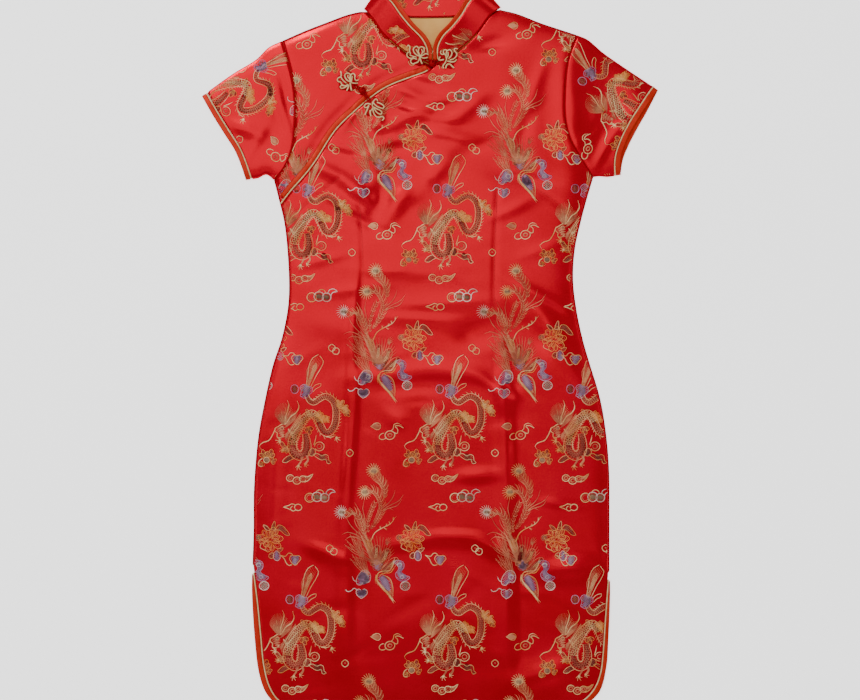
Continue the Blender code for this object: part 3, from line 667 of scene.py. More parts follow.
def tube(path: Array, radius: float | Array, sides: int = 8, closed: bool = False) -> Shape:
    """A round tube: the circle of the path's sideways and upward vectors, along it.

    Args:
        path: points along its middle, in millimetres; it lies mostly flat.
        radius: its radius, alike or one for each point.
        sides: how many sides its circle has.
        closed: whether the path runs back into its start.

    Returns:
        The shape; an open tube's ends are rounded down to a small disc.
    """
    if closed:
        run = unit(np.roll(path, -1, axis=0) - np.roll(path, 1, axis=0))
    else:
        radius = np.broadcast_to(radius, len(path))
        out = unit(path[[0, -1]] - path[[1, -2]])
        ends = path[[0, -1]] + out * 0.7 * radius[[0, -1], None]
        path = np.concatenate([ends[:1], path, ends[1:]])
        radius = np.concatenate([radius[:1] * 0.35, radius, radius[-1:] * 0.35])
        run = unit_run(path)
    side = np.cross((0.0, 0.0, 1.0), run)
    side /= np.maximum(np.linalg.norm(side, axis=1), 1e-6)[:, None]
    turn = np.linspace(0.0, 2 * math.pi, sides, endpoint=False)[:, None]
    spokes = side[:, None] * np.cos(turn) + np.cross(run, side)[:, None] * np.sin(turn)
    rings = path[:, None] + spokes * np.broadcast_to(radius, len(path))[:, None, None]
    faces = [grid_faces(len(path), sides, wraps=True, down=True)]
    j = np.arange(sides)
    last = (len(path) - 1) * sides
    if closed:
        k = (j + 1) % sides
        faces.append(np.stack([last + k, k, j, last + j], axis=-1))
    else:
        faces += [j[None, ::-1], last + j[None]]
    return Shape(rings.reshape(-1, 3), faces)


# The brocade.


class Thread(Enum):
    """The colours of the brocade's supplementary threads."""

    GOLD = "gold"
    COPPER = "copper"
    AMBER = "amber"
    LILAC = "lilac"
    SILVER = "silver"
    UMBER = "umber"
    WINE = "wine"
    RUST = "rust"
    MAUVE = "mauve"


GOLD, COPPER, AMBER, LILAC, SILVER, UMBER, WINE, RUST, MAUVE = Thread
# The threads that only lie flat under others, and how high each lies, in millimetres.
UNDERLAYS = {WINE: 0.10, RUST: 0.13, MAUVE: 0.16}
# The underlay of a patch of each thread; the others take WINE.
PATCH_UNDERLAY = {AMBER: RUST, GOLD: RUST, LILAC: MAUVE}
# The sweeps of a whole ellipse, and of a spiral that winds inwards.
ROUND = (0.0, 360.0)
SPIRAL = (0.0, 620.0)


@dataclass
class Motif:
    """An ornament as bundles of thread strokes, in its own millimetres, +Y upwards.

    A bundle holds its thread, points (stroke, station, xy) and half widths (stroke,
    station) of strokes that have the same number of stations.
    """

    bundles: list[tuple[Thread, Array, Array]] = field(default_factory=list)

    def add(self, thread: Thread, points: Array, width: float | Array) -> None:
        """Adds one stroke, or a bundle of them, with this width.

        Args:
            thread: their thread.
            points: (station, xy), or (stroke, station, xy) for a bundle.
            width: alike, or one for each station.
        """
        points = points if points.ndim == 3 else points[None]
        half = np.broadcast_to(np.asarray(width, float) / 2, points.shape[:2])
        self.bundles.append((thread, points, half.copy()))

    def bow(self, thread: Thread, rows: Rows, width: float, count: int = 10) -> None:
        """A smooth open stroke through the rows, its last third drawn out thin."""
        taper = np.clip(3.2 * (1 - np.linspace(0.0, 1.0, count)), 0.3, 1.0)
        self.add(thread, smooth_curve(rows, count), width * taper)

    def line(self, thread: Thread, rows: Rows, width: float, count: int = 10) -> None:
        """A smooth open stroke through the rows, of even width."""
        self.add(thread, smooth_curve(rows, count), width)

    def arc(
        self, thread: Thread, x: float, y: float, radius: Point, width: float,
        turn: float = 0.0, sweep: Point = ROUND, count: int = 14,
    ) -> None:
        """Part of an ellipse, or of a spiral where its sweep is over a full turn.

        Args:
            thread: its thread.
            x: its middle.
            y: its middle.
            radius: its two half axes.
            width: its width.
            turn: how far it is turned, in degrees.
            sweep: its first and last angle, in degrees.
            count: its stations.
        """
        a = np.radians(np.linspace(*sweep, count))
        extra = np.clip((abs(sweep[1] - sweep[0]) - 360) / 540, 0, 1)
        wind = 1 - 0.75 * extra * np.linspace(0, 1, count)
        px, py = radius[0] * wind * np.cos(a), radius[1] * wind * np.sin(a)
        c, s = cos_sin(turn)
        self.add(thread, np.stack([x + px * c - py * s, y + px * s + py * c], axis=-1), width)

    def leaf(
        self, thread: Thread, start: Point, end: Point, width: float, bend: float = 0.0
    ) -> None:
        """A filled leaf from start to tip: its half width is a half sine.

        Args:
            thread: its thread.
            start: its root.
            end: its tip.
            width: its width at the middle.
            bend: how far its middle lies to the left.
        """
        a, b = np.array(start), np.array(end)
        bow = half_sine(7)
        aside = leftward(b - a) / np.hypot(*(b - a))
        spine = a + (b - a) * np.linspace(0.0, 1.0, 7)[:, None] + aside * (bend * bow)[:, None]
        self.add(thread, spine, np.maximum(width * bow**0.8, 0.25))

    def disc(self, thread: Thread, x: float, y: float, radius: float) -> None:
        """A filled disc: a short stroke as wide as the circle is at each station.

        Args:
            thread: its thread.
            x: its middle.
            y: its middle.
            radius: its radius.
        """
        f = np.cos(np.linspace(math.pi, 0.0, 7))
        spine = np.stack([x + radius * f, np.full(7, y)], axis=-1)
        self.add(thread, spine, np.maximum(2 * radius * np.sqrt(1 - f**2), 0.2))

    def outlined(self, thread: Thread, outline: Array, width: float) -> None:
        """A closed outline through these points."""
        self.add(thread, np.concatenate([outline, outline[:1]]), width)

    def fan(
        self, thread: Thread, root: Point, angles: Point, lengths: Point, count: int,
        width: float, curl: float = 0.0,
    ) -> None:
        """Fine strokes that spread from a root, longest in the middle of the fan.

        Args:
            thread: their thread.
            root: where they start.
            angles: the first and last direction, in degrees.
            lengths: their length at the fan's sides and in its middle.
            count: how many there are.
            width: their width.
            curl: how far each turns along its length, in degrees.
        """
        f = np.linspace(0.0, 1.0, count)[:, None]
        t = np.linspace(0.0, 1.0, 5)[None, :]
        reach = lengths[0] + (lengths[1] - lengths[0]) * np.sin(math.pi * f)
        heading = np.radians(angles[0] + (angles[1] - angles[0]) * f + curl * t)
        points = np.stack([np.cos(heading), np.sin(heading)], axis=-1) * (reach * t)[..., None]
        self.add(thread, points + np.array(root), width * (1.1 - 0.7 * t))

    def barbs(
        self, thread: Thread, spine: Array, length: float | Array, width: float, spread: float
    ) -> None:
        """Barbs on both sides of a spine, which lean back along it.

        Args:
            thread: their thread.
            spine: a point for each pair, from the feather's tip to its root.
            length: their length, alike or for each pair.
            width: their width at the spine.
            spread: their angle to the spine, in degrees.
        """
        run = unit_run(spine)[:, None]
        length = np.broadcast_to(length, len(spine))[:, None, None]
        t = np.linspace(0.0, 1.0, 4)[None, :, None]
        c, s = cos_sin(spread)
        for hand in (1.0, -1.0):
            out = hand * leftward(run) * s * (1 - 0.25 * t)
            lean = -run * c * (1 + 0.4 * t)
            points = spine[:, None] + (out + lean) * length * t
            self.add(thread, points, width * (1.15 - 0.75 * t)[..., 0])

    def plume(self, thread: Thread, root: Point, tip: Point, width: float) -> None:
        """A slender feather: two bowed edges from its root, and strokes between them.

        Args:
            thread: its thread.
            root: where it starts.
            tip: where it ends.
            width: how far it bulges.
        """
        a, b = np.array(root, float), np.array(tip, float)
        aside = leftward(b - a) / np.linalg.norm(b - a)
        for bulge in (0.9, 0.1):
            self.bow(thread, [a, a + 0.45 * (b - a) + aside * width * (bulge - 0.1), b], 0.9, 9)
        for share in (0.45, 0.6, 0.75, 0.88):
            start = a + share * (b - a) + aside * width * 0.1
            self.bow(thread, [start, start + aside * width * 0.35 + 0.05 * (b - a)], 0.7, 3)

    def scales(self, thread: Thread, path: Array, half: Array, pitch: float, width: float) -> None:
        """Rows of U-shaped scales across a band, each row half a scale aside.

        Args:
            thread: their thread.
            path: the band's middle line.
            half: its half width at each point.
            pitch: the distance between rows.
            width: the strokes' width.
        """
        along = run_steps(path)
        rows = np.arange(pitch, along[-1], pitch)
        spot = read_along(path, along, rows)[:, None]
        run = unit_run(spot[:, 0])[:, None]
        reach = np.interp(rows, along, half)[:, None]
        a = np.radians(np.linspace(-90.0, 90.0, 4))
        for column in (-1, 0, 1):
            shift = column + 0.5 * (np.arange(len(rows)) % 2) - 0.25
            place = shift[:, None] * 0.58 * reach
            out = (place + 0.3 * reach * np.sin(a))[..., None] * leftward(run)
            on = 0.72 * pitch * np.cos(a)[None, :, None] * run
            self.add(thread, spot + out + on, width)

    def fill(self, thread: Thread, outline: Array) -> None:
        """Weft floats that fill an outline: rows of dashes, each row half a step aside.

        Args:
            thread: their thread.
            outline: its corners in order.
        """
        pitch, width, dash, gap = 1.4, 0.85, 2.2, 0.9
        low, high = outline.min(axis=0), outline.max(axis=0)
        y = np.arange(low[1], high[1], pitch) + 0.5 * pitch
        x = np.arange(low[0] - dash, high[0] + dash, dash + gap)
        x = x + 0.5 * (dash + gap) * (np.arange(len(y)) % 2)[:, None]
        ends = np.stack([x - dash / 2, x + dash / 2], axis=-1)
        rows = np.broadcast_to(y[:, None, None], ends.shape)
        kept = inside_outline(ends, rows, outline).all(axis=-1)
        if kept.any():
            self.add(thread, np.stack([ends[kept], rows[kept]], axis=-1), width)

    def under(self, thread: Thread, outline: Array) -> None:
        """A flat underlay, as wide as the outline is at each of its heights.

        Args:
            thread: its thread.
            outline: its corners in order.
        """
        levels = np.linspace(outline[:, 1].min(), outline[:, 1].max(), 11)[1:-1]
        (x0, y0), (x1, y1) = outline.T, np.roll(outline, -1, axis=0).T
        share = (levels[:, None] - y0) / np.where(np.abs(y1 - y0) < 1e-9, 1e-9, y1 - y0)
        x = x0 + share * (x1 - x0)
        hit = (share >= 0) & (share <= 1)
        low, high = np.where(hit, x, 1e9).min(axis=1), np.where(hit, x, -1e9).max(axis=1)
        spine = np.stack([0.5 * (low + high), levels], axis=-1)
        run = np.gradient(spine, axis=0)
        lean = np.abs(run[:, 1]) / np.linalg.norm(run, axis=1)
        self.add(thread, spine, np.maximum(0.94 * (high - low) * lean, 0.3))

    def filled(
        self, fill: Thread, edge: Thread, rows: Rows, width: float = 1.0, count: int = 24
    ) -> None:
        """A patch of floats inside a smooth closed outline, which another thread follows.

        Args:
            fill: the floats' thread.
            edge: the outline's thread.
            rows: points round it.
            width: the outline's width.
            count: the outline's stations.
        """
        outline = smooth_curve([*rows, rows[0]], count)
        self.under(PATCH_UNDERLAY.get(fill, WINE), outline)
        self.fill(fill, outline)
        self.add(edge, outline, width)

    def placed(self, x: float, y: float, turn: float = 0.0, scale: float = 1.0) -> "Motif":
        """The motif scaled, turned by degrees, then moved.

        Args:
            x: how far it moves to the right.
            y: how far it moves up.
            turn: its turn to the left, in degrees.
            scale: its size.

        Returns:
            A new motif.
        """
        c, s = (part * scale for part in cos_sin(turn))
        spin = np.array([[c, s], [-s, c]])
        return Motif([(t, p @ spin + np.array([x, y]), w * scale) for t, p, w in self.bundles])

    def with_all(self, *others: "Motif") -> "Motif":
        """The motif together with others."""
        return Motif(self.bundles + [bundle for other in others for bundle in other.bundles])


@dataclass(frozen=True)
class BrocadeDesign:
    """The traditional dragon, phoenix, peony and cloud figures of one repeat."""

    def flame(self, tilt: float, fill: Thread = AMBER) -> Motif:
        """A tuft of three flame lobes: floats with a thin rim and a drawn-out tip.

        Args:
            tilt: the middle lobe's direction, in degrees.
            fill: the floats' thread.

        Returns:
            The tuft.
        """
        tuft = Motif()
        for angle, length in ((tilt + 48, 8), (tilt, 10.5), (tilt - 46, 7.4)):
            c, s = cos_sin(angle)
            shares = ((0, -1.2), (0.45, -2.9), (0.9, -1.6), (1, 1.4), (0.6, 2.6), (0, 1.2))
            lobe = ((share * length, y) for share, y in shares)
            rows = [(x * c - y * s, x * s + y * c) for x, y in lobe]
            tuft.filled(fill, AMBER, rows, 0.7, 14)
        return tuft

    def flames(self, *rows: tuple[float, Thread, float, float, float]) -> list[Motif]:
        """Tufts of flame, each with its tilt, thread, place and scale."""
        return [self.flame(tilt, fill).placed(x, y, 0, size) for tilt, fill, x, y, size in rows]

    def claw(self, turn: float) -> Motif:
        """A four-toed foot.

        Args:
            turn: its direction, in degrees.

        Returns:
            The foot.
        """
        foot = Motif()
        foot.fan(GOLD, (0, 0), (-62, 62), (4.6, 6.6), 4, 1.5, 24)
        foot.disc(GOLD, 0, 0, 1.6)
        return foot.placed(0, 0, turn)

    def dragon_head(self) -> Motif:
        """The head in profile, with horns, mane, beard and a long whisker.

        Returns:
            The motif.
        """
        head = Motif()
        for row in range(5):
            root = (-41 + row * 1.2, 6.5 - row * 2.4)
            head.leaf(COPPER, root, (-30.5, 10 - row * 3), 2.8, 0.9)
        head.line(GOLD, [(-30, 15), (-36, 13), (-39.5, 10.5), (-43, 9), (-43.5, 5), (-40, 2.5),
            (-41, -1.5), (-36.5, -3), (-32, 0.5)], 1.5, 16)
        head.fill(COPPER, smooth_curve([(-30, 15), (-36, 13), (-42, 8.5), (-42.5, 4), (-38, 1.5),
            (-35.5, -2), (-31, 1), (-30, 15)], 24))
        head.disc(UMBER, -34.5, 9, 1.5)
        head.arc(GOLD, -34.5, 9, (2.4, 2), 0.8, 0, ROUND, 9)
        head.bow(GOLD, [(-31, 15), (-30, 23), (-27.5, 31), (-26, 38), (-28, 44)], 1.8, 11)
        head.bow(GOLD, [(-28, 16), (-24, 23), (-17, 28), (-13.5, 35), (-15.5, 43)], 1.8, 11)
        head.fan(COPPER, (-32.5, 12.5), (142, 60), (18, 28), 21, 1.05, -12)
        head.fan(UMBER, (-32.5, 12.5), (134, 66), (13, 21), 9, 0.7, -12)
        head.fan(COPPER, (-30.5, 9.5), (62, 30), (17, 25), 13, 1.05, 10)
        for row in range(9):
            far, middle = (-11.5 + 0.5 * row, 27 - 2 * row), (-21 + 0.9 * row, 13.5 - 1.1 * row)
            rows = [far, middle, (-31.5 + 1.3 * row, -5 + 0.5 * row)]
            head.bow(GOLD if row % 4 == 1 else COPPER, rows, 1.15, 10)
        head.fan(GOLD, (-31, 13), (130, 40), (15, 23), 6, 0.7, -8)
        head.fan(COPPER, (-29.5, 1.5), (44, 4), (8, 17), 9, 0.9, 22)
        head.fan(COPPER, (-29, 3), (-118, -64), (8, 14), 6, 1.2, 18)
        head.fan(GOLD, (-27, 8), (-70, -48), (14, 19), 3, 0.9, 12)
        head.bow(GOLD, [(-43, 8), (-46.5, 0), (-51, -6.5), (-59, -9.5), (-63, -14), (-60, -18)],
            1.6, 14)
        head.bow(GOLD, [(-38, -3), (-37, -8), (-39, -12)], 1.2, 5)
        return head

    def dragon(self) -> Motif:
        """A scaled body in one S and a coil, with tail plume, flames and feet.

        Returns:
            The motif.
        """
        body = smooth_curve([(-4, 50), (-0.5, 43), (5, 40.5), (12, 45), (19, 48.5), (27, 45),
            (31.5, 38), (33, 26), (31, 12.5), (24, 3), (18, 4), (13, 12.5), (9, 21), (3, 27),
            (-5, 22.5), (-11.5, 13), (-17, 3), (-21.5, -8), (-20.5, -20), (-12.5, -26),
            (-5, -21.5), (-3.5, -10), (-5.5, 2)], 130)
        at, wide = (0, 0.15, 0.5, 0.82, 0.93, 1), (2.4, 3.8, 4.4, 5.6, 5.2, 3.6)
        half = np.interp(np.linspace(0, 1, 130), at, wide)
        made = Motif()
        made.add(WINE, body[::3], 2 * half[::3])
        for thread, start, stop in ((COPPER, 0, 62), (GOLD, 61, 100), (COPPER, 99, 130)):
            made.scales(thread, body[start:stop], half[start:stop], 2.6, 0.9)
        for edge in (half, -half):
            made.add(GOLD, moved_aside(body, edge), 1)
        fins = moved_aside(body, half + 0.5)[5:-5:2]
        run = np.gradient(fins, axis=0)
        tips = fins - 0.55 * run + 1.7 * leftward(run) / 3.0
        made.add(GOLD, np.stack([fins, tips], axis=1), [[1.1, 0.4]])
        # The tail: a plume of long feathers that rises from a knot of cloud.
        for bend, lean in (
            (-5.2, -3), (-3.6, -2), (-2, 0), (-0.4, 2), (1.2, 4), (2.8, 6), (4.2, 8), (5.6, 10),
        ):
            tip = (8 + lean * 0.35 + bend * 0.5, 99 - abs(bend))
            made.bow(COPPER, [(-2, 62), (1.0 + bend, 79), tip], 0.9, 9)
        made.line(GOLD, [(-4.5, 62), (-2.5, 75), (-0.5, 88), (4.5, 97), (11, 100.5)], 1.1, 12)
        made.line(GOLD, [(1.5, 61), (8, 74), (14, 84), (17, 92), (12.5, 99)], 1.1, 12)
        plume = smooth_curve([(-2, 62), (3, 76), (8, 90)], 16)
        made.barbs(GOLD, plume, np.linspace(3, 6, 16), 0.7, -38)
        made.filled(LILAC, LILAC, [(-12, 49), (-10.5, 55), (-12, 60), (-7, 63.5), (-2, 60.5),
            (2.5, 60), (3, 54), (-1, 50.5), (-6, 46)], 0.9, 30)
        made.filled(UMBER, LILAC, [(-24, 57), (-22, 62), (-17, 62.5), (-14, 58), (-16, 53),
            (-21, 52.5)], 0.9)
        for x, y in ((-8, 57), (-2.5, 55.5)):
            made.arc(UMBER, x, y, (3.4, 3), 0.7, 40, SPIRAL, 16)
        made.line(GOLD, [(3, 58.5), (7, 62.5), (14, 64.5), (13.5, 61), (8, 58), (4, 54)], 1, 12)
        # Flames, feet and the pearl.
        made = made.with_all(*self.flames(
            (40, GOLD, 35, 36, 1), (-30, GOLD, 41, 34, 0.9), (-50, COPPER, 45, 29, 0.7),
            (10, AMBER, 12, 21, 1), (60, AMBER, 9, 23, 0.8), (-40, AMBER, 19, 21, 0.75),
            (-75, COPPER, -2, 10, 0.9), (120, COPPER, -1, 26, 0.7), (-150, COPPER, -28, -16, 0.8),
        ))
        made.line(GOLD, [(20, -2), (27, -2.5), (31, -1)], 1.4, 6)
        made.filled(COPPER, GOLD, [(-25, -20), (-31, -19), (-37, -9), (-34, -8), (-29, -14),
            (-25, -13)], 0.9)
        made.filled(UMBER, GOLD, [(-24, -25), (-29, -27), (-34, -33), (-29, -34), (-24, -31),
            (-20, -29)], 0.9)
        made.line(COPPER, [(-9, -27), (-11, -33), (-14, -37)], 2.4, 6)
        made.line(COPPER, [(-4, -25), (-2, -31), (-6, -36)], 3, 6)
        made.bow(GOLD, [(5, -12), (7, -6), (8, 0)], 1.5, 6)
        for turn, x, y, size in (
            (-80, 33.5, -3, 1), (120, -37, -8, 1), (150, -33, -19, 0.8), (-110, -14, -38, 1),
            (-60, -6, -36, 0.8),
        ):
            made = made.with_all(self.claw(turn).placed(x, y, 0, size))
        made = made.with_all(self.dragon_head())
        pearl = Motif()
        pearl.disc(UMBER, 0, 0, 3.2)
        pearl.arc(GOLD, 0, 0, (3.8, 3.6), 1, 0, ROUND, 12)
        pearl = pearl.with_all(*self.flames(
            (100, COPPER, -3, 4, 0.85), (72, COPPER, 4, 4, 0.95), (20, COPPER, 6, -2, 0.7),
            (-120, COPPER, -5, -3, 0.6),
        ))
        pearl.line(GOLD, [(-5, 2), (-9, -1), (-10, -7), (-5, -8)], 1.4, 8)
        clouds = (self.scroll_cloud().placed(-16, -55, 0, 1.05), self.curl_cloud().placed(9, -25))
        return made.with_all(pearl.placed(-54, -31), *clouds)

    def scroll_cloud(self) -> Motif:
        """Three copper-filled lobes in a row with a pointed tail to the right.

        Returns:
            The motif.
        """
        cloud = Motif()
        for x, y, r in ((-8, 1.5, 4.4), (0, -1.5, 4.8), (7, 0.5, 4)):
            cloud.arc(GOLD, x, y, (r, r * 0.9), 1.3, 0, (20, 340), 13)
            cloud.arc(COPPER, x, y, (r * 0.62, r * 0.5), 1.3, 30, SPIRAL, 14)
        cloud.line(GOLD, [(8, 4), (13, 3), (19, 6.5), (14, -1), (9, -3.5)], 1.3, 12)
        cloud.leaf(COPPER, (9, 0), (17, 4), 3.4, -0.6)
        return cloud

    def curl_cloud(self) -> Motif:
        """A grey ball, a ring swirled over it and a thick tail that waves to the right.

        Returns:
            The motif.
        """
        cloud = Motif()
        cloud.filled(UMBER, GOLD, [(-10, 5), (-6, 9), (-2, 6), (-2.5, 1), (-7, -1), (-10.5, 1)],
            0.9)
        cloud.arc(GOLD, 3, 11, (6, 5.6), 1.2, 0, (-150, 180), 16)
        cloud.arc(COPPER, 3, 11, (3.6, 3.2), 1.2, 0, (-150, 400), 16)
        cloud.filled(UMBER, GOLD, [(-5, 1), (1, 2), (6, -1), (10, 1), (14, -1), (15, -7), (18, -9),
            (13, -10.5), (11, -5), (6, -6), (0, -3)], 0.9, 30)
        return cloud

    def feather(self, rows: Rows, barb: float, pairs: int, eye: float, edge: Thread) -> Motif:
        """A long feather from its eye to its root, with barbs on both sides.

        Args:
            rows: its spine, from the eye to the root.
            barb: the length of its barbs.
            pairs: how many pairs of barbs it has.
            eye: the eye's radius, or 0.
            edge: the eye's thread.

        Returns:
            The feather.
        """
        made = Motif()
        spine = smooth_curve(rows, pairs)
        made.add(COPPER, spine, 1.3)
        size = barb * np.interp(np.linspace(0, 1, pairs), [0, 0.12, 0.7, 1], [0.7, 1, 0.9, 0.45])
        made.barbs(COPPER, spine, size * 1.4, 0.95, 50)
        made.barbs(GOLD, spine[::2] + 0.3, size[::2] * 1.2, 0.7, 58)
        if eye:
            x, y = spine[0]
            back = math.degrees(math.atan2(*(spine[0] - spine[2])[::-1]))
            made.fan(edge, (x, y), (back - 135, back + 135), (eye * 2, eye * 2.5), 15, 1.3, 10)
            made.disc(UMBER, x, y, eye * 0.86)
            made.arc(edge, x, y, (eye * 1.05, eye * 0.95), 1, 0, ROUND, 12)
        return made

    def phoenix(self) -> Motif:
        """A phoenix that flies down to the right, its eye-spot feathers streaming up.

        Returns:
            The motif.
        """
        made = Motif().with_all(*(self.feather(*feather) for feather in (
            ([(9, 86), (15, 76), (21.5, 66), (23, 53)], 8.6, 17, 4.2, GOLD),
            ([(-2, 60), (7.5, 62), (16, 53), (18.5, 39), (13, 26), (5, 14)], 7.2, 24, 4.2, GOLD),
            ([(-31, 35), (-24, 33), (-14, 34), (-8, 24), (-4, 11), (-1, 0)], 6.6, 24, 4, SILVER),
            ([(10, 46), (6, 38), (3, 29), (1, 20), (2, 10)], 4.4, 13, 0, GOLD),
        )))
        for rows in (
            [(19, 40), (27, 46), (33, 54), (35.5, 63)], [(20, 38), (30, 44), (40, 49), (46, 57)],
            [(20, 37), (31, 41), (38, 43), (44, 51)], [(20, 35), (28, 40), (34, 37)],
            [(-2, 14), (-6, 28), (-10, 38), (-15, 47)], [(-1, 14), (-3, 30), (-5, 40), (-3, 50)],
            [(-4, 4), (-14, 12), (-21, 20), (-26, 30)], [(-6, 2), (-16, 8), (-24, 10), (-31, 7)],
            [(-5, -1), (-15, 4), (-22, 4), (-27, 0)], [(-4, 8), (-12, 17), (-15, 24), (-14, 32)],
        ):
            made.bow(COPPER, rows, 1.3, 8)
        made.bow(GOLD, [(5, -2), (10, 9), (19, 15), (29, 20), (37, 30)], 1.5, 12)
        for x, y, turn in ((17, 14, 80), (24, 17, 60), (29, 20, 95), (33, 25, 70), (22, 15, -40)):
            made.fan(GOLD, (x, y), (turn, turn + 20), (4, 5), 2, 0.9)
        # The neck and back: many slanting fine strokes that narrow to the wing.
        f = np.linspace(0, 1, 30)[:, None]
        t = np.linspace(0, 1, 5)[None, :]
        left = np.stack([-10 + 13 * f, 12 - 32 * f], axis=-1)
        slant = np.stack([(9 + 3 * f) * t, -(13 - 3 * f) * t - 2 * np.sin(math.pi * t)], axis=-1)
        made.add(COPPER, left + slant, 1.1 * (1.1 - 0.6 * t))
        made.add(COPPER, (left + slant)[::2] + (4, 3), 1.1 - 0.6 * t)
        # Two wings whose feathers lie over each other, and the bent neck between them.
        made.fan(COPPER, (25, -6), (115, 50), (7, 11), 6, 1, -15)
        made.fan(COPPER, (13, -31), (152, 28), (27, 37), 19, 1.3, 8)
        made.fan(UMBER, (13, -31), (140, 40), (20, 28), 7, 0.8, 8)
        for x, y, turn, size in ((8, -32, 78, 0.98), (14, -36, 62, 1.05), (20, -40, 44, 0.95)):
            wing = Motif()
            rows = [(0, -3), (12, -6), (24, -4), (27.5, 0), (22, 4.5), (10, 5), (0, 3), (0, -3)]
            wing.add(WINE, np.linspace((0, 0), (26, 0), 8), [5, 9, 10, 10, 9.5, 8.5, 7, 3])
            wing.outlined(COPPER, smooth_curve(rows, 22), 1)
            for row in range(6):
                reach = 25.0 - abs(row - 2.5) * 2.4
                middle, tip = (reach * 0.5, -4.6 + row * 1.75), (reach, -3.2 + row * 1.3)
                wing.bow(COPPER, [(1, -2.2 + row * 0.9), middle, tip], 0.7, 8)
            wing.barbs(GOLD, smooth_curve([(21, 0), (15, -0.8), (10, 0)], 6), 3.6, 0.8, 40)
            wing.barbs(COPPER, smooth_curve([(9, 0), (5, -0.8), (1, 0)], 4), 3, 0.7, 40)
            made = made.with_all(wing.placed(x, y, turn, size))
        made.filled(LILAC, UMBER, [(7, -30), (8, -25), (13, -24), (19, -27), (20, -33), (15, -38),
            (9, -37)], 0.8)
        made.filled(AMBER, GOLD, [(-2, -4), (0, 1), (4, 0), (7, -8), (5, -15), (1, -13)], 0.8)
        made.line(GOLD, [(13, -47), (14.5, -41), (21, -38.5), (28, -38), (32, -33), (34, -27)],
            1.5, 14)
        made.line(AMBER, [(16, -46), (18, -42.5), (23, -41), (29.5, -40.5), (34, -35)], 1, 12)
        # The tail plume below, scrolls on both sides, and the long plumage at the left.
        made.filled(LILAC, COPPER, [(13, -44), (20, -43), (27, -48), (31, -56), (30.5, -65),
            (25, -63), (18, -56), (14, -50)], 0.9, 26)
        edge = smooth_curve([(32, -74), (26, -66), (18, -57), (12.5, -49), (12, -43)], 18)
        made.barbs(GOLD, edge, np.linspace(4, 5.5, 18), 0.8, 24)
        made.add(GOLD, edge, 1.2)
        made.bow(GOLD, [(20, -43), (29, -48), (32.5, -58), (32.5, -74)], 1.1, 12)
        made.fan(COPPER, (29, -62), (-100, -58), (9, 12), 5, 1)
        for root, tips in (
            ((-3, -21), ((-28, -5), (-25, 0), (-21, 8), (-17, 6), (-13, 11), (-10, 8))),
            ((3, -44), ((-21, -22), (-18, -18), (-14, -19), (-11, -13), (-7, -14), (-4, -9))),
        ):
            for tip in tips:
                made.plume(COPPER, root, tip, 3.4)
        made.filled(LILAC, SILVER, [(-10, -43), (-5, -38), (2, -39), (5, -46), (2, -53), (-4, -52),
            (-7, -56), (-12, -55), (-13, -50)], 1, 30)
        made.arc(SILVER, -1, -46, (3.6, 3.4), 0.9, 0, SPIRAL, 16)
        made.bow(SILVER, [(-12, -52), (-16, -50), (-18, -45)], 1.1, 7)
        made.filled(LILAC, LILAC, [(33, -27), (39, -25), (46, -28), (46, -35), (43, -39),
            (48, -44), (54, -46), (50, -50), (43, -51), (38, -48), (36, -42), (40, -36),
            (38, -31)], 1, 40)
        made.arc(SILVER, 41, -31, (3.2, 2.8), 0.8, 0, (0, 560), 14)
        made.arc(SILVER, 44, -46, (2.4, 2.2), 0.8, 0, ROUND, 9)
        return made

    def peony(self) -> Motif:
        """A peony in three quarter view: rings of curled petals, leaves and buds.

        Returns:
            The motif.
        """
        made = Motif()
        a = np.radians(np.linspace(-135, 135, 9))
        for count, reach, size, start in ((4, 2.6, 2.8, 60), (7, 6.6, 3.6, 20), (9, 10.6, 3.9, 5)):
            order = np.arange(count)
            turn = np.radians(start + 360.0 * (order + 0.3 * np.sin(2.3 * order)) / count)[:, None]
            size = size * (1 + 0.25 * np.sin(3.1 * order + count))[:, None]
            for share, thread, width in ((1, AMBER, 0.8), (0.55, COPPER, 0.7)):
                out, side = share * size * 1.25 * np.cos(a), share * size * 0.85 * np.sin(a)
                x = (reach + out) * np.cos(turn) - side * np.sin(turn)
                y = (reach + out) * np.sin(turn) + side * np.cos(turn)
                made.add(thread, np.stack([x, y - 2], axis=-1), width)
        for rows in (
            [(-3, 9), (-6, 10.5), (-9, 16), (-4, 14), (-1, 10)],
            [(1, 10), (2, 15), (5.5, 21), (6, 14), (5, 10)],
            [(6, 10), (10, 16), (15, 15), (19, 11), (24, 3), (18, 4), (14, 8), (10, 10)],
        ):
            made.filled(UMBER, GOLD, rows, 0.9, 22)
        made.arc(UMBER, -15.5, 0, (2.6, 2.4), 1.6, 0, SPIRAL, 13)
        made.arc(COPPER, -15.5, 0, (4, 3.8), 0.9, 0, ROUND, 12)
        made.bow(GOLD, [(-12, -8), (-13, -12), (-8, -15), (-2, -17)], 1.1, 9)
        made.filled(COPPER, GOLD, [(3, -18), (-1, -20), (-2, -24), (2, -26), (4, -22)], 0.9, 14)
        made.filled(LILAC, SILVER, [(7, -16), (3.5, -21), (5, -27), (9, -28.5), (12, -25),
            (11, -19)], 0.9)
        made.filled(COPPER, GOLD, [(9, -14), (16, -12.5), (13, -17), (10, -18)], 0.8, 12)
        return made

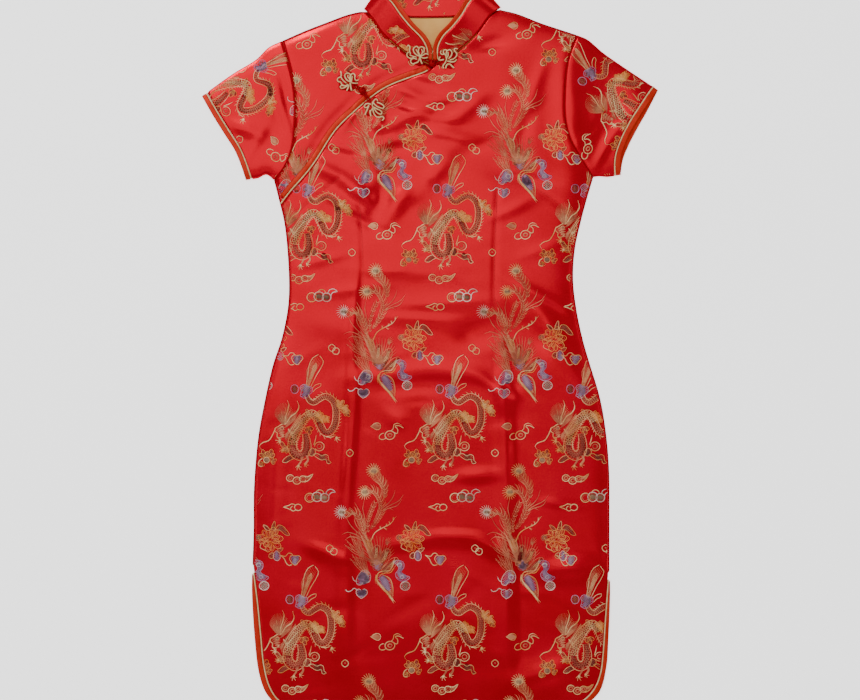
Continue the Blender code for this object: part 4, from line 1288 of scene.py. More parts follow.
    def ring_cloud(self) -> Motif:
        """One ring with a centre boss, a loop to its left and a tail to its right.

        Returns:
            The motif.
        """
        made = Motif()
        made.arc(GOLD, 0, 0, (6.2, 5.4), 1.5, 10, ROUND, 15)
        made.arc(GOLD, -8.5, -1.5, (5.2, 3.8), 1.3, 25, (60, 310), 11)
        made.arc(COPPER, 0, 0, (3.2, 2.6), 1.4, 0, SPIRAL, 13)
        made.line(GOLD, [(4, 4), (9, 2), (9.5, 8), (6, 11), (11, 12), (17, 9)], 1.4, 14)
        made.bow(GOLD, [(1, 5), (4, 8), (5, 13), (10, 15), (15, 12)], 1.2, 10)
        return made

    def cloud_pair(self) -> Motif:
        """Three rings in a row, two of them grey inside, with a curled tail.

        Returns:
            The motif.
        """
        made = Motif()
        for x, y, r, outer, inner in (
            (-12, -1, 6, GOLD, COPPER), (-3, 0, 6.2, SILVER, UMBER), (6.5, -1, 5.6, SILVER, UMBER),
        ):
            made.arc(outer, x, y, (r, r * 0.95), 1.5, 0, ROUND, 15)
            if inner is UMBER:
                made.disc(inner, x, y, r * 0.55)
            made.arc(inner, x, y, (r * 0.66, r * 0.6), 1, 40, ROUND, 11)
        made.arc(GOLD, 0.5, 5, (4.6, 3.8), 1.4, 0, (0, 190), 9)
        made.line(SILVER, [(8, 4), (10, 8), (15, 9.5), (20, 6), (15.5, 5.5), (12.5, 3),
            (11.5, -2)], 1.5, 14)
        return made

    def knot_cloud(self) -> Motif:
        """A small open scroll with two loops and a pointed tail to the left.

        Returns:
            The motif.
        """
        made = Motif()
        made.arc(GOLD, 6.5, 0, (4.6, 4), 1.5, 0, (-150, 200), 13)
        made.arc(GOLD, 0.5, -1.5, (3.4, 3), 1.3, 0, (100, 330), 9)
        made.line(GOLD, [(3, 3), (-1, 4.5), (-6, 2), (-12, 0.5), (-7, -1), (-3, -3)], 1.4, 12)
        return made

    def heart_cloud(self) -> Motif:
        """A lilac heart-shaped cloud with a wavy tail to the left.

        Returns:
            The motif.
        """
        made = Motif()
        made.filled(LILAC, SILVER, [
            (0, -7), (-5.5, -2), (-6, 3), (-2.5, 5), (0.5, 3), (4.5, 5), (8, 1), (5, -4)], 1, 20)
        made.arc(UMBER, 1, -0.5, (3.2, 2.4), 1, 20, (0, 500), 12)
        made.line(SILVER, [(-5, 4), (-9, 6), (-12, 3), (-17, 2), (-19, 4.5)], 1.3, 10)
        return made

    def berry(self) -> Motif:
        """A round lilac swirl on a forked stem.

        Returns:
            The motif.
        """
        made = Motif()
        made.filled(LILAC, GOLD, [
            (-6.5, 1), (-4, 5), (1, 4.5), (5, 5), (8, 1), (5, -3), (1.5, -7), (-3, -5)], 1.1, 24)
        made.arc(UMBER, 0.5, 0, (3.4, 2.8), 1, 20, (0, 540), 14)
        made.line(GOLD, [(-18, 5.5), (-13, 1), (-10, -5), (-7, -7.5), (-3, -6.5)], 1.4, 12)
        made.line(GOLD, [(-17, 5), (-11, 4), (-8, 7.5), (-4, 7.5), (-2, 5)], 1.2, 11)
        return made

    def small_ring(self) -> Motif:
        """A small rounded diamond with a boss in it.

        Returns:
            The motif.
        """
        made = Motif()
        made.outlined(GOLD, smooth_curve([(0, 4.6), (3.6, 2.2), (4.4, -0.8), (0.6, -4.6),
            (-3.4, -2.4), (-4.2, 1.2), (0, 4.6)], 13), 1.3)
        made.disc(COPPER, 0.2, 0.3, 1.1)
        return made

    def repeat(self) -> Motif:
        """All the figures of one repeat, placed round the dragon's middle.

        Returns:
            All of them as one motif.
        """
        double = self.small_ring().with_all(self.small_ring().placed(5, -4, 30))
        rosette = Motif()
        rosette.filled(SILVER, SILVER, [(0, 5.5), (4, 4), (6, 0), (3.5, -4.5), (-2.5, -5),
            (-6, -1), (-4, 4)], 1.2)
        rosette.arc(UMBER, 0.3, 0, (2.6, 2), 0.9, 0, (0, 500), 12)
        leaf = Motif()
        leaf.leaf(COPPER, (-7, 0.5), (6, -0.5), 8)
        leaf.outlined(GOLD, smooth_curve([(-7, 0), (-1, 4), (4, 3.5), (5.5, -1), (2, -4.5),
            (-7, 0)], 13), 1)
        return self.dragon().with_all(self.ring_cloud().placed(-81, 0), leaf.placed(-98, 11),
            self.small_ring().placed(50, -22), self.cloud_pair().placed(12, -77),
            self.knot_cloud().placed(-21, -90), self.phoenix().placed(71, -131),
            self.peony().placed(127, -128), double.placed(25, -141),
            self.heart_cloud().placed(64, -197), self.berry().placed(-19, -155),
            rosette.placed(119, -188))


# Columns of a ribbon's cross section: share of its half width, and height in mm.
NARROW = ((1.0, -0.06), (0.0, 0.26), (-1.0, -0.06))
WIDE = ((1.0, -0.06), (0.62, 0.2), (0.0, 0.27), (-0.62, 0.2), (-1.0, -0.06))
WIDE_FROM = 2.2


@dataclass(frozen=True)
class Ground:
    """A cloth face that carries threads inside its outline and outside its holes.

    Its place gives points in space and unit normals for plan x and y.
    """

    place: Place
    outline: Array
    holes: tuple[Array, ...] = ()

    def carries(self, points: Array) -> Array:
        """True where plan points lie on the part that carries threads.

        Args:
            points: plan points, a row each.

        Returns:
            Whether each of them does.
        """
        on = inside_outline(*points.T, self.outline)
        for hole in self.holes:
            on &= ~inside_outline(*points.T, hole)
        return on


def upward(height: Height) -> Place:
    """Places plan points on a height function, with normals straight up.

    Args:
        height: the height function.

    Returns:
        The place for a ground.
    """

    def place(x: Array, y: Array) -> tuple[Array, Array]:
        """Points on the face, and their normals."""
        return np.stack([x, y, height(x, y)], axis=-1), np.array([0.0, 0.0, 1.0])

    return place


def downward(x: Array, y: Array) -> tuple[Array, Array]:
    """Places plan points on the flat underside, with normals straight down."""
    return np.stack([x, y, np.zeros_like(x)], axis=-1), np.array([0.0, 0.0, -1.0])


def ribbons(strokes: Array, halves: Array, ids: Array, ground: Ground, section: Rows) -> Shape:
    """Closed ribbons along strokes: a section of columns at each station.

    A column's point is the station moved aside by its share of the half width, put on
    the ground and raised along the ground's normal. Stations off the ground break a
    stroke, and each run of the rest gets a cap at both ends.

    Args:
        strokes: plan points of all stations, a row each.
        halves: the half width at each station.
        ids: the number of the stroke that each station belongs to.
        ground: what the ribbons lie on.
        section: share of the half width and height of each column.

    Returns:
        The ribbons, without the points that no face uses.
    """
    same = ids[1:] == ids[:-1]
    step = np.diff(strokes, axis=0) * same[:, None]
    run = np.zeros_like(strokes)
    run[:-1] += step
    run[1:] += step
    run /= np.maximum(np.linalg.norm(run, axis=1), 1e-9)[:, None]
    aside = leftward(run) * halves[:, None]
    kept = ground.carries(strokes + 1.15 * aside) & ground.carries(strokes - 1.15 * aside)
    link = same & kept[1:] & kept[:-1]
    share, height = np.array(section).T
    plan = strokes[:, None] + share[:, None] * aside[:, None]
    points, normals = ground.place(plan[..., 0], plan[..., 1])
    points = points + normals * height[:, None]
    count = len(section)
    a = np.flatnonzero(link)[:, None] * count
    b = a + count
    k = np.arange(count - 1)
    sides = np.stack([a + k + 1, b + k + 1, b + k, a + k], axis=-1).reshape(-1, 4)
    under = np.concatenate([a, b, b + count - 1, a + count - 1], axis=1)
    first = np.flatnonzero(link & ~np.append(False, link[:-1]))[:, None] * count
    last = (np.flatnonzero(link & ~np.append(link[1:], False)) + 1)[:, None] * count
    ring = np.arange(count)
    faces = [np.concatenate([sides, under]), np.concatenate([first + ring[::-1], last + ring])]
    if np.mean(normals[..., 2]) < 0:
        faces = [face[:, ::-1] for face in faces]
    used = np.unique(np.concatenate([face.ravel() for face in faces]))
    number = np.zeros(len(points) * count, int)
    number[used] = np.arange(len(used))
    return Shape(points.reshape(-1, 3)[used], [number[face] for face in faces])


def thread_shape(bundles: list[tuple[Array, Array]], ground: Ground, flat: float) -> Shape | None:
    """All strokes of one thread: wide ones padded, narrow ones ridged.

    Args:
        bundles: points (stroke, station, xy) and half widths (stroke, station).
        ground: what they lie on.
        flat: the height of an underlay for other threads, or 0.

    Returns:
        Their ribbons, or None where none of them is on the ground.
    """
    shapes = []
    under = ((1.0, -0.06), (0.0, flat), (-1.0, -0.06))
    for section, wanted in ((NARROW, False), (under if flat else WIDE, True)):
        chosen = [(p, w) for p, w in bundles if bool(flat or 2 * w.max() > WIDE_FROM) == wanted]
        if chosen:
            strokes = np.concatenate([p.reshape(-1, 2) for p, _ in chosen])
            halves = np.concatenate([w.ravel() for _, w in chosen])
            sizes = np.concatenate([np.full(len(p), p.shape[1]) for p, _ in chosen])
            ids = np.repeat(np.arange(len(sizes)), sizes)
            shapes.append(ribbons(strokes, halves, ids, ground, section))
    shapes = [shape for shape in shapes if len(shape.points)]
    return Shape.joined(shapes) if shapes else None


# Finishes.


class Shade:
    """A socket of a material's nodes, for arithmetic on what it gives.

    Operators on values add Math nodes and on vectors Vector Math nodes; a colour comes
    from a Mix node. Any other node comes from the method node.
    """

    def __init__(
        self, tree: bpy.types.NodeTree, socket: bpy.types.NodeSocket | None = None
    ) -> None:
        """Wraps a socket, or only the tree where no socket is meant."""
        self.tree, self.socket = tree, socket

    def node(self, kind: str, settings: dict, inputs: dict, output: int | str = 0) -> "Shade":
        """Adds a node and returns one of its outputs.

        Args:
            kind: its type, without "ShaderNode".
            settings: attributes that are set first.
            inputs: values or Shades for its sockets, by name or number.
            output: the output's name or number.

        Returns:
            The output, wrapped.
        """
        made = self.tree.nodes.new("ShaderNode" + kind)
        for key, value in settings.items():
            setattr(made, key, value)
        for key, value in inputs.items():
            if isinstance(value, Shade):
                self.tree.links.new(value.socket, made.inputs[key])
            else:
                made.inputs[key].default_value = value
        return Shade(self.tree, made.outputs[output])

    def _maths(self, operation: str, first: "Shade | float", second: "Shade | float") -> "Shade":
        """A Math node on two numbers, or a Vector Math node where one is a vector.

        Args:
            operation: the node's operation.
            first: the first value.
            second: the second value.

        Returns:
            What the node gives.
        """
        both = first, second
        vector = any(isinstance(v, Shade) and v.socket.type == "VECTOR" for v in both)
        if vector:
            both = (v if isinstance(v, Shade) else (v, v, v) for v in both)
        kind = "VectorMath" if vector else "Math"
        return self.node(kind, {"operation": operation}, dict(enumerate(both)))

    def __add__(self, other: "Shade | float") -> "Shade":
        """The sum."""
        return self._maths("ADD", self, other)

    def __mul__(self, other: "Shade | float") -> "Shade":
        """The product."""
        return self._maths("MULTIPLY", self, other)

    def __sub__(self, other: "Shade | float") -> "Shade":
        """The difference."""
        return self._maths("SUBTRACT", self, other)

    def __rsub__(self, other: "Shade | float") -> "Shade":
        """The difference, from a number."""
        return self._maths("SUBTRACT", other, self)

    __radd__, __rmul__ = __add__, __mul__

    def mix(self, dark: Triple, bright: Triple) -> "Shade":
        """A colour between two, by this value."""
        inputs = {0: self, 6: (*dark, 1.0), 7: (*bright, 1.0)}
        return self.node("Mix", {"data_type": "RGBA"}, inputs, 2)

    def clamped(self) -> "Shade":
        """The value kept from 0 to 1."""
        return self.node("Clamp", {}, {0: self})


# A wave texture's scale times the length of half a wave.
HALF_WAVE = 0.157


@dataclass(frozen=True)
class Finish:
    """A woven or wound finish: two tones, gloss, sheen, and a fine surface.

    Its dark and bright tones are linear colours. Patches of tone, the weave's pitch and
    its relief are in metres. The tint colours its highlights, metallic lets them take
    its own colour as satin floats do, and along names the UV map that the weave
    follows, or "" for the object's own place.
    """

    name: str
    dark: Triple
    bright: Triple
    rough: float
    patch: float
    weave: float
    contrast: float = 1.5
    relief: float = 0.00004
    sheen: float = 0.0
    tint: Triple = (1.0, 1.0, 1.0)
    anisotropic: float = 0.0
    metallic: float = 0.0
    along: str = ""
    slot: str = "red_satin"

    def place(self, tree: Shade) -> Shade:
        """The coordinates that the weave follows, in metres.

        Args:
            tree: the material's nodes.

        Returns:
            The coordinates.
        """
        if self.along:
            return tree.node("UVMap", {"uv_map": self.along}, {})
        return tree.node("TexCoord", {}, {}, "Object")

    def noise(self, tree: Shade, place: Shade, scale: float) -> Shade:
        """A fine noise from 0 to 1."""
        inputs = {"Vector": place, "Scale": scale, "Detail": 2.0}
        return tree.node("TexNoise", {}, inputs, "Fac")

    def weave_height(self, tree: Shade, place: Shade) -> Shade:
        """Height of the weave from 0 to 1: crossing bands broken up by a fine noise.

        Args:
            tree: the material's nodes.
            place: the coordinates that the weave follows.

        Returns:
            The height.
        """
        scale = HALF_WAVE / self.weave
        bands = {"Vector": place, "Scale": scale, "Distortion": 0.4, "Detail": 1.0}
        weft, warp = (
            tree.node("TexWave", {"bands_direction": axis}, bands, "Fac") for axis in "YX"
        )
        slub = self.noise(tree, place, 0.4 / self.weave)
        return weft * 0.55 + warp * 0.25 + slub * 0.35

    def tone(self, tree: Shade, place: Shade) -> Shade:
        """Tone from 0 to 1: soft patches, with streaks along the weft.

        Args:
            tree: the material's nodes.
            place: the coordinates that the weave follows.

        Returns:
            The tone.
        """
        seen = tree.node("TexCoord", {}, {}, "Object")
        patches = self.noise(tree, seen, 1 / self.patch)
        longer = tree.node("Mapping", {}, {"Vector": place, "Scale": (90.0, 1400.0, 200.0)})
        streaks = self.noise(tree, longer, 1.0)
        return ((patches - 0.5) * self.contrast + (streaks - 0.5) * 0.7 + 0.5).clamped()

    def build(self) -> bpy.types.Material:
        """The material, made with its nodes.

        Returns:
            The material.
        """
        made = bpy.data.materials.new(self.name)
        made.use_nodes = True
        shader = made.node_tree.nodes["Principled BSDF"]
        tree = Shade(made.node_tree)
        place = self.place(tree)
        tone = self.tone(tree, place)
        colour = tone.mix(self.dark, self.bright)
        rough = (tone - 0.5) * 0.1 + self.rough
        height = self.weave_height(tree, place)
        bump = tree.node("Bump", {}, {"Strength": 0.6, "Distance": self.relief, "Height": height})
        for name, value in (("Base Color", colour), ("Roughness", rough), ("Normal", bump)):
            made.node_tree.links.new(value.socket, shader.inputs[name])
        for name, value in (
            ("Sheen Weight", self.sheen), ("Sheen Roughness", 0.35),
            ("Specular Tint", (*self.tint, 1.0)), ("Anisotropic", self.anisotropic),
            ("Metallic", self.metallic),
        ):
            shader.inputs[name].default_value = value
        return made


SATIN = Finish(
    "red_satin", (0.54, 0.0, 0.012), (0.68, 0.001, 0.020), 0.23, 0.07, 0.0008, relief=0.00002,
    tint=(1.0, 0.1, 0.1), anisotropic=0.3, metallic=0.68, along="grain",
)
# Satin of the frogs' flowers and knots, darker than the dress's: partly its own deeper red, partly
# painted shade for the shadows round the frogs.
CORD_SATIN_AND_SHADE = Finish(
    "red_satin_cord", (0.27, 0.0, 0.004), (0.45, 0.001, 0.010), 0.34, 0.004, 0.0007,
    relief=0.00005, tint=(1.0, 0.2, 0.2), metallic=0.35,
)
BIAS = Finish(
    "orange_bias", (0.50, 0.012, 0.006), (0.66, 0.035, 0.014), 0.38, 0.02, 0.0009,
    tint=(1.0, 0.3, 0.2), metallic=0.3, slot="orange_bias",
)
PIPING = Finish(
    "gold_piping", (0.72, 0.46, 0.17), (1.0, 0.76, 0.40), 0.33, 0.006, 0.0008,
    relief=0.00007, sheen=0.1, tint=(1.0, 0.92, 0.75), slot="gold_piping",
)
LINING = Finish(
    "ochre_lining", (0.84, 0.39, 0.08), (1.0, 0.56, 0.14), 0.42, 0.03, 0.0007,
    relief=0.00003, sheen=0.15, tint=(1.0, 0.9, 0.75), slot="ochre_lining",
)
# The threads' strong tone contrast gives bright and dull patches: partly the threads' own uneven
# tone, partly painted glints of the metal threads.
THREADS = {
    thread: Finish(
        f"thread_{thread.value}", dark, bright, 0.34, patch, 0.0006, contrast=3.2,
        relief=0.00003, tint=(1.0, 0.80, 0.58), metallic=metallic, slot="gold_piping",
    )
    for thread, dark, bright, patch, metallic in (
        (GOLD, (0.74, 0.34, 0.09), (1.0, 0.76, 0.38), 0.024, 0.2),
        (COPPER, (0.42, 0.085, 0.045), (0.76, 0.28, 0.14), 0.022, 0.2),
        (AMBER, (0.92, 0.30, 0.04), (1.0, 0.58, 0.15), 0.02, 0.1),
        (LILAC, (0.27, 0.16, 0.31), (0.58, 0.44, 0.62), 0.02, 0.2),
        (SILVER, (0.55, 0.38, 0.30), (1.0, 0.90, 0.78), 0.024, 0.2),
        (UMBER, (0.14, 0.06, 0.035), (0.34, 0.19, 0.11), 0.02, 0.1),
        (WINE, (0.19, 0.004, 0.008), (0.33, 0.016, 0.018), 0.02, 0.3),
        (RUST, (0.56, 0.12, 0.04), (0.80, 0.26, 0.09), 0.015, 0.2),
        (MAUVE, (0.20, 0.07, 0.14), (0.36, 0.19, 0.30), 0.015, 0.2),
    )
}


@dataclass(frozen=True)
class Floor(Finish):
    """Pale matt paper, lit through from behind as a light table is."""

    glow: float = 1.5

    def build(self) -> bpy.types.Material:
        """The material, made with its nodes.

        Returns:
            The material.
        """
        made = super().build()
        inputs = made.node_tree.nodes["Principled BSDF"].inputs
        inputs["Specular IOR Level"].default_value = 0.2
        inputs["Emission Color"].default_value = (1.0, 1.0, 1.0, 1.0)
        inputs["Emission Strength"].default_value = self.glow
        return made


PAPER = Floor("floor_paper", (0.90, 0.90, 0.90), (0.94, 0.94, 0.94), 0.7, 0.2, 0.002)


# The garment.

# Radius of the dark tube of painted shade that stands for the shadow in a seam between two pieces.
SEAM_SHADE_RADIUS = 0.32


class Side(Enum):
    """A side of the dress, as it is seen; its value is +1 or -1 for its curves' turn."""

    LEFT = 1
    RIGHT = -1

    @property
    def word(self) -> str:
        """The side's name, as the pieces use it."""
        return self.name.lower()


class Wardrobe:
    """Makes each finish's material once, and settles the pieces."""

    def __init__(self) -> None:
        """Starts with no materials."""
        self.made: dict[str, bpy.types.Material] = {}

    def linked(self, name: str, shape: Shape, finish: Finish) -> Piece:
        """Links an object of this shape, whose finish is built on its first use.

        Args:
            name: its name.
            shape: its shape.
            finish: its finish.

        Returns:
            The object.
        """
        piece = bpy.data.objects.new(name, shape.mesh(name))
        if finish.name not in self.made:
            self.made[finish.name] = finish.build()
        piece.data.materials.append(self.made[finish.name])
        bpy.context.scene.collection.objects.link(piece)
        return piece

    def settle(self, piece: Piece, slot: str, *nodes: str) -> Piece:
        """Lets a piece ride on the dress, and hides the CAD nodes that it replaces.

        Args:
            piece: the piece.
            slot: its material slot; not used.
            nodes: the CAD nodes that it replaces.

        Returns:
            The piece.
        """
        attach(piece, "root")
        if nodes:
            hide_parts(*nodes)
        LOG.info("%s: %d polygons", piece.name, len(piece.data.polygons))
        return piece

    def cloth(
        self, name: str, grid: Array, thickness: float, finish: Finish, wraps: bool = False,
        down: bool = False, grain: float = 0.0,
    ) -> Piece:
        """A settled cloth piece: a grid, thickened to its inner side by Solidify.

        Args:
            name: the CAD node that it replaces.
            grid: rows of points on its outer face.
            thickness: how thick the cloth is.
            finish: its finish.
            wraps: whether each row is a closed loop.
            down: whether the grid's faces run the other way round.
            grain: the turn of its grain from the dress's, in degrees.

        Returns:
            The piece. Its UV map "grain" holds metres across and along the grain.
        """
        faces = grid_faces(*grid.shape[:2], wraps, down)
        piece = self.linked(f"{name}_cloth", Shape(grid.reshape(-1, 3), [faces]), finish)
        mesh = piece.data
        c, s = cos_sin(grain)
        x, y = grid[..., 0].ravel() * MM, grid[..., 1].ravel() * MM
        values = np.stack([x * c + y * s, y * c - x * s], axis=-1)
        corners = np.empty(len(mesh.loops), np.int32)
        mesh.loops.foreach_get("vertex_index", corners)
        layer = mesh.uv_layers.new(name="grain")
        layer.data.foreach_set("uv", values[corners].astype(np.float32).ravel())
        wall = piece.modifiers.new("wall", "SOLIDIFY")
        wall.thickness = thickness * MM
        wall.offset = -1.0
        return self.settle(piece, finish.slot, name)

    def shape(self, name: str, shape: Shape, finish: Finish, *nodes: str) -> Piece:
        """A settled piece of a closed shape."""
        return self.settle(self.linked(name, shape, finish), finish.slot, *nodes)


def grid_area(grid: Array, wraps: bool = False) -> float:
    """Area of a grid's quads in square metres, by the cross product of diagonals.

    Args:
        grid: rows of points in millimetres.
        wraps: whether each row closes on itself.

    Returns:
        The area.
    """
    if wraps:
        grid = np.concatenate([grid, grid[:, :1]], axis=1)
    one = grid[1:, 1:] - grid[:-1, :-1]
    two = grid[1:, :-1] - grid[:-1, 1:]
    return float(np.linalg.norm(np.cross(one, two), axis=-1).sum() / 2) * MM * MM


def run_length(grid: Array, axis: int) -> float:
    """The longest of the grid's lines along an axis, in metres."""
    return float(np.linalg.norm(np.diff(grid, axis=axis), axis=-1).sum(axis=axis).max()) * MM


def declare_sheet(
    grid: Array, trims: Sequence[Piece],
    wraps: bool = False,
) -> None:
    """Measures a piece's cut and area on its own grid, and keeps neither.

    The cut is the longest line across by the longest line along; a tube's width is
    its whole way round.

    Args:
        grid: its outer face.
        trims: the pieces sewn on it; not used.
        wraps: whether each row is a closed loop.
    """
    ring = np.concatenate([grid, grid[:, :1]], axis=1) if wraps else grid
    flat = (run_length(ring, 1), run_length(grid, 0))
    grid_area(grid, wraps)


@dataclass(frozen=True)
class BodyPanels:
    """The main front, the under front and the back, as grids over the plan.

    Its first fields count the points along the hem, each slit and the slanting edge.
    The under front's side lies between two heights, and its hidden end starts a tuck
    further in.
    """

    columns: int = 152
    slit: int = 60
    placket: int = 86
    under_side: Point = (166.0, 208.0)
    tuck: float = 16.0

    def hem_line(self, inset: float, columns: int, slit: int) -> Array:
        """The piping's run down the left slit, along the hem and up the right one.

        Args:
            inset: how far the line moves to its left.
            columns: the points along the hem.
            slit: the points along each slit.

        Returns:
            The line's points.
        """
        whole = smooth_curve(HEM_PIPING, 600)
        one, two = (np.argmin(np.hypot(*(whole - corner).T)) for corner in HEM_CORNERS)
        parts = (whole[: one + 1], slit), (whole[one : two + 1], columns), (whole[two:], slit)
        return moved_aside(chain(*(even_points(*part) for part in parts)), inset)

    def body(
        self, top: Array, armholes: tuple[Rows | None, Rows | None], inset: float,
        sides: tuple[int, int], arm: int, slit: int,
    ) -> Array:
        """Plan grid of a body panel, from its top edge down to the hem's piping.

        Args:
            top: points of its top edge, as many as its columns.
            armholes: the left and the right armhole's rows, or None.
            inset: how far inside the outline its side seams lie.
            sides: the points along its left and right side seams.
            arm: the points along an armhole.
            slit: the points along a slit.

        Returns:
            The grid of plan points.
        """
        run = self.hem_line(PIPING_GAP, len(top), slit)
        edges = []
        for end, turn, armhole, rows, count, lower in (
            (0, 1.0, armholes[0], SIDE_LEFT, sides[0], run[:slit]),
            (-1, -1.0, armholes[1], SIDE_RIGHT, sides[1], run[::-1][:slit]),
        ):
            pieces = [top[end][None]]
            if armhole is not None:
                pieces.append(beside(armhole, arm, turn * SEAM)[1:-1])
            side = beside(rows, 300, turn * inset)
            below = side[:, 1] < pieces[-1][-1, 1] - 3.0
            above = side[:, 1] > lower[0, 1] + 2.0
            edges.append(np.concatenate([*pieces, even_points(side[below & above], count), lower]))
        return patch(top, run[slit - 1 : slit + len(top) - 1], *edges)

    @cached_property
    def front(self) -> Array:
        """The main front, under its slanting edge, the neck and the right shoulder."""
        slant = moved_aside(smooth_curve(PLACKET, self.placket)[::-1], -PIPING_GAP)
        neck = beside(NECK_FRONT_RIGHT, 36, -SEAM)
        shoulder = beside(SHOULDER_RIGHT, 32, -SIDE_INSET)
        top = chain(slant, neck, shoulder)
        plan = self.body(top, (None, ARMHOLE_RIGHT), SIDE_INSET, (190, 128), 64, self.slit)
        return lifted(plan, FORM.front)

    @cached_property
    def shoulder(self) -> Array:
        """The under front: the left shoulder, which runs on under the slanting edge."""
        top = moved_aside(smooth_curve(SHOULDER_LEFT, 40)[::-1], -SIDE_INSET)
        armhole = beside(ARMHOLE_LEFT, 62, SEAM)
        neck = moved_aside(smooth_curve(NECK_FRONT_LEFT, 60)[::-1], -SEAM)
        hidden = beside(PLACKET, 60, FLAP_UNDER)
        side = beside(SIDE_LEFT, 120, SIDE_INSET)
        low, high = self.under_side
        side = side[(side[:, 1] < high) & (side[:, 1] > low)]
        hidden = hidden[hidden[:, 0] > side[-1, 0] + self.tuck]
        left = np.concatenate([top[:1], armhole[1:-1], even_points(side, 14)])
        bottom = even_points(np.concatenate([side[-1:], hidden[::-1]]), len(top))
        right = even_points(np.concatenate([top[-1:], neck[1:], bottom[-1:]]), len(left))
        return lifted(patch(top, bottom, left, right), FORM.flap)

    @cached_property
    def back(self) -> Array:
        """The back, flat on the surface, in the dress's whole outline."""
        left = smooth_curve(SHOULDER_LEFT, 20)[::-1]
        neck = beside(NECK_BACK, 34, -SEAM)
        right = smooth_curve(SHOULDER_RIGHT, 20)
        top = chain(left[:-1], neck, right[1:])
        plan = self.body(top, (ARMHOLE_LEFT, ARMHOLE_RIGHT), 0.0, (66, 66), 32, 34)
        return lifted(plan, CLOTH)

    def outline(self, grid: Array) -> Array:
        """The closed plan outline of a grid."""
        edges = [grid[0], grid[1:, -1], grid[-1, -2::-1], grid[-2:0:-1, 0]]
        return np.concatenate(edges)[:, :2]


BODY = BodyPanels()


@dataclass(frozen=True)
class Sleeve:
    """One short sleeve as a flattened tube, with its cuff binding and piping.

    Its tables are the armhole, the top fold, the underarm fold and the cuff. The slip
    is how far its front stops short of its back at the cuff, and the grain the turn of
    its cloth from the body's, in degrees.
    """

    side: Side
    tables: tuple[Rows, Rows, Rows, Rows]
    slip: float
    grain: float
    across: int = 40

    def loops(self, front: Array, back: Array) -> Array:
        """Loops from a front layer round the fold, and along a back layer.

        Args:
            front: plan grid of the front layer.
            back: plan grid of the back layer.

        Returns:
            A grid whose rows are the loops.
        """
        layers = lifted(front, FORM.sleeve), lifted(back, 0.0)[:, ::-1]
        folds = []
        for end, inner, angles in ((-1, -2, (45.0, 90.0, 135.0)), (0, 1, (135.0, 90.0, 45.0))):
            outward = unit(front[:, end] - front[:, inner])
            middle = 0.5 * (front[:, end] + back[:, end])
            turn = np.radians(angles)
            plan = middle[:, None] + outward[:, None] * (FOLD_REACH * np.sin(turn))[:, None]
            folds.append(lifted(plan, 0.5 * FOLD_TOP * (1 + np.cos(turn))))
        return np.concatenate([layers[0], folds[0], layers[1], folds[1]], axis=1)

    def cuffs(self, inset: float) -> list[Array]:
        """The front and the back layer's end line, this far up the sleeve.

        The front's bows away from the cuff by the slip, and the back's eases onto it
        at the underarm.

        Args:
            inset: how far up the sleeve they lie.

        Returns:
            The two lines.
        """
        whole = smooth_curve(self.tables[3], self.across)
        bell = half_sine(self.across)[:, None] ** 0.7
        slip = moved_aside(whole, self.side.value * self.slip) - whole
        aside = self.side.value * inset
        front, back = (
            trimmed(moved_aside(line, aside), FOLD_REACH) for line in (whole + slip * bell, whole)
        )
        near = np.linspace(0.0, 1.0, len(back))[:, None] ** 8
        return [front, back + (front[-1] - back[-1]) * near]

    def span(self, first: Sequence[Array], last: Sequence[Array], along: int) -> list[Array]:
        """Plan grids of the two layers between a first and a last pair of lines.

        Args:
            first: the lines nearer the armhole.
            last: the lines nearer the cuff.
            along: how many rows there are.

        Returns:
            The two grids.
        """
        top = beside(self.tables[1], 90, self.side.value * FOLD_REACH)
        under = beside(self.tables[2], 90, -self.side.value * FOLD_REACH)
        return [
            patch(a, b, stretch(top, a[0], b[0], along), stretch(under, a[-1], b[-1], along))
            for a, b in zip(first, last)
        ]

    @cached_property
    def layers(self) -> list[Array]:
        """Plan grids of the sleeve's front and back layers, armhole to piping."""
        start = beside(self.tables[0], self.across, -self.side.value * SEAM)
        start = trimmed(start, FOLD_REACH)
        return self.span([start, start], self.cuffs(CUFF_BAND + PIPING_GAP), 34)

    def build(self, wardrobe: Wardrobe, brocade: "Brocade") -> None:
        """Builds the sleeve, its binding, its piping and its brocade.

        Args:
            wardrobe: makes and settles the pieces.
            brocade: lays the threads.
        """
        lie = (True, self.side is Side.RIGHT, self.grain)
        word = self.side.word
        grid = self.loops(*self.layers)
        cloth = wardrobe.cloth(f"sleeve_{word}", grid, CLOTH, SATIN, *lie)
        ends = self.span(self.cuffs(CUFF_BAND - PIPING_GAP), self.cuffs(0.0), 7)
        band = wardrobe.cloth(f"cuff_binding_{word}", self.loops(*ends), CLOTH, BIAS, *lie)
        front, back = self.cuffs(CUFF_BAND)
        ring = self.loops(front[None], back[None])[0]
        ring[:, 2] = np.maximum(ring[:, 2] - PIPING_SINK, PIPING_RADIUS)
        name = f"cuff_piping_{word}"
        cord = tube(ring, PIPING_RADIUS, closed=True)
        piping = wardrobe.shape(f"{name}_cord", cord, PIPING, name)
        threads = [self.armhole_seam(wardrobe), *brocade.dress_sleeve(self)]
        declare_sheet(grid, [band, piping, *threads], wraps=True)

    def armhole_seam(self, wardrobe: Wardrobe) -> Piece:
        """Painted shade in the armhole seam: a dark tube, sunk between the sleeve and the body on
        both layers.

        Args:
            wardrobe: makes and settles the pieces.

        Returns:
            The seam's piece.
        """
        line = trimmed(smooth_curve(self.tables[0], 90), FOLD_REACH)
        front = lifted(line, FORM.sleeve) - (0.0, 0.0, 2 * SEAM_SHADE_RADIUS)
        layers = front, lifted(line, 2 * SEAM_SHADE_RADIUS)
        seam = Shape.joined([tube(layer, SEAM_SHADE_RADIUS, 6) for layer in layers])
        return wardrobe.shape(f"armhole_seam_{self.side.word}", seam, THREADS[WINE])


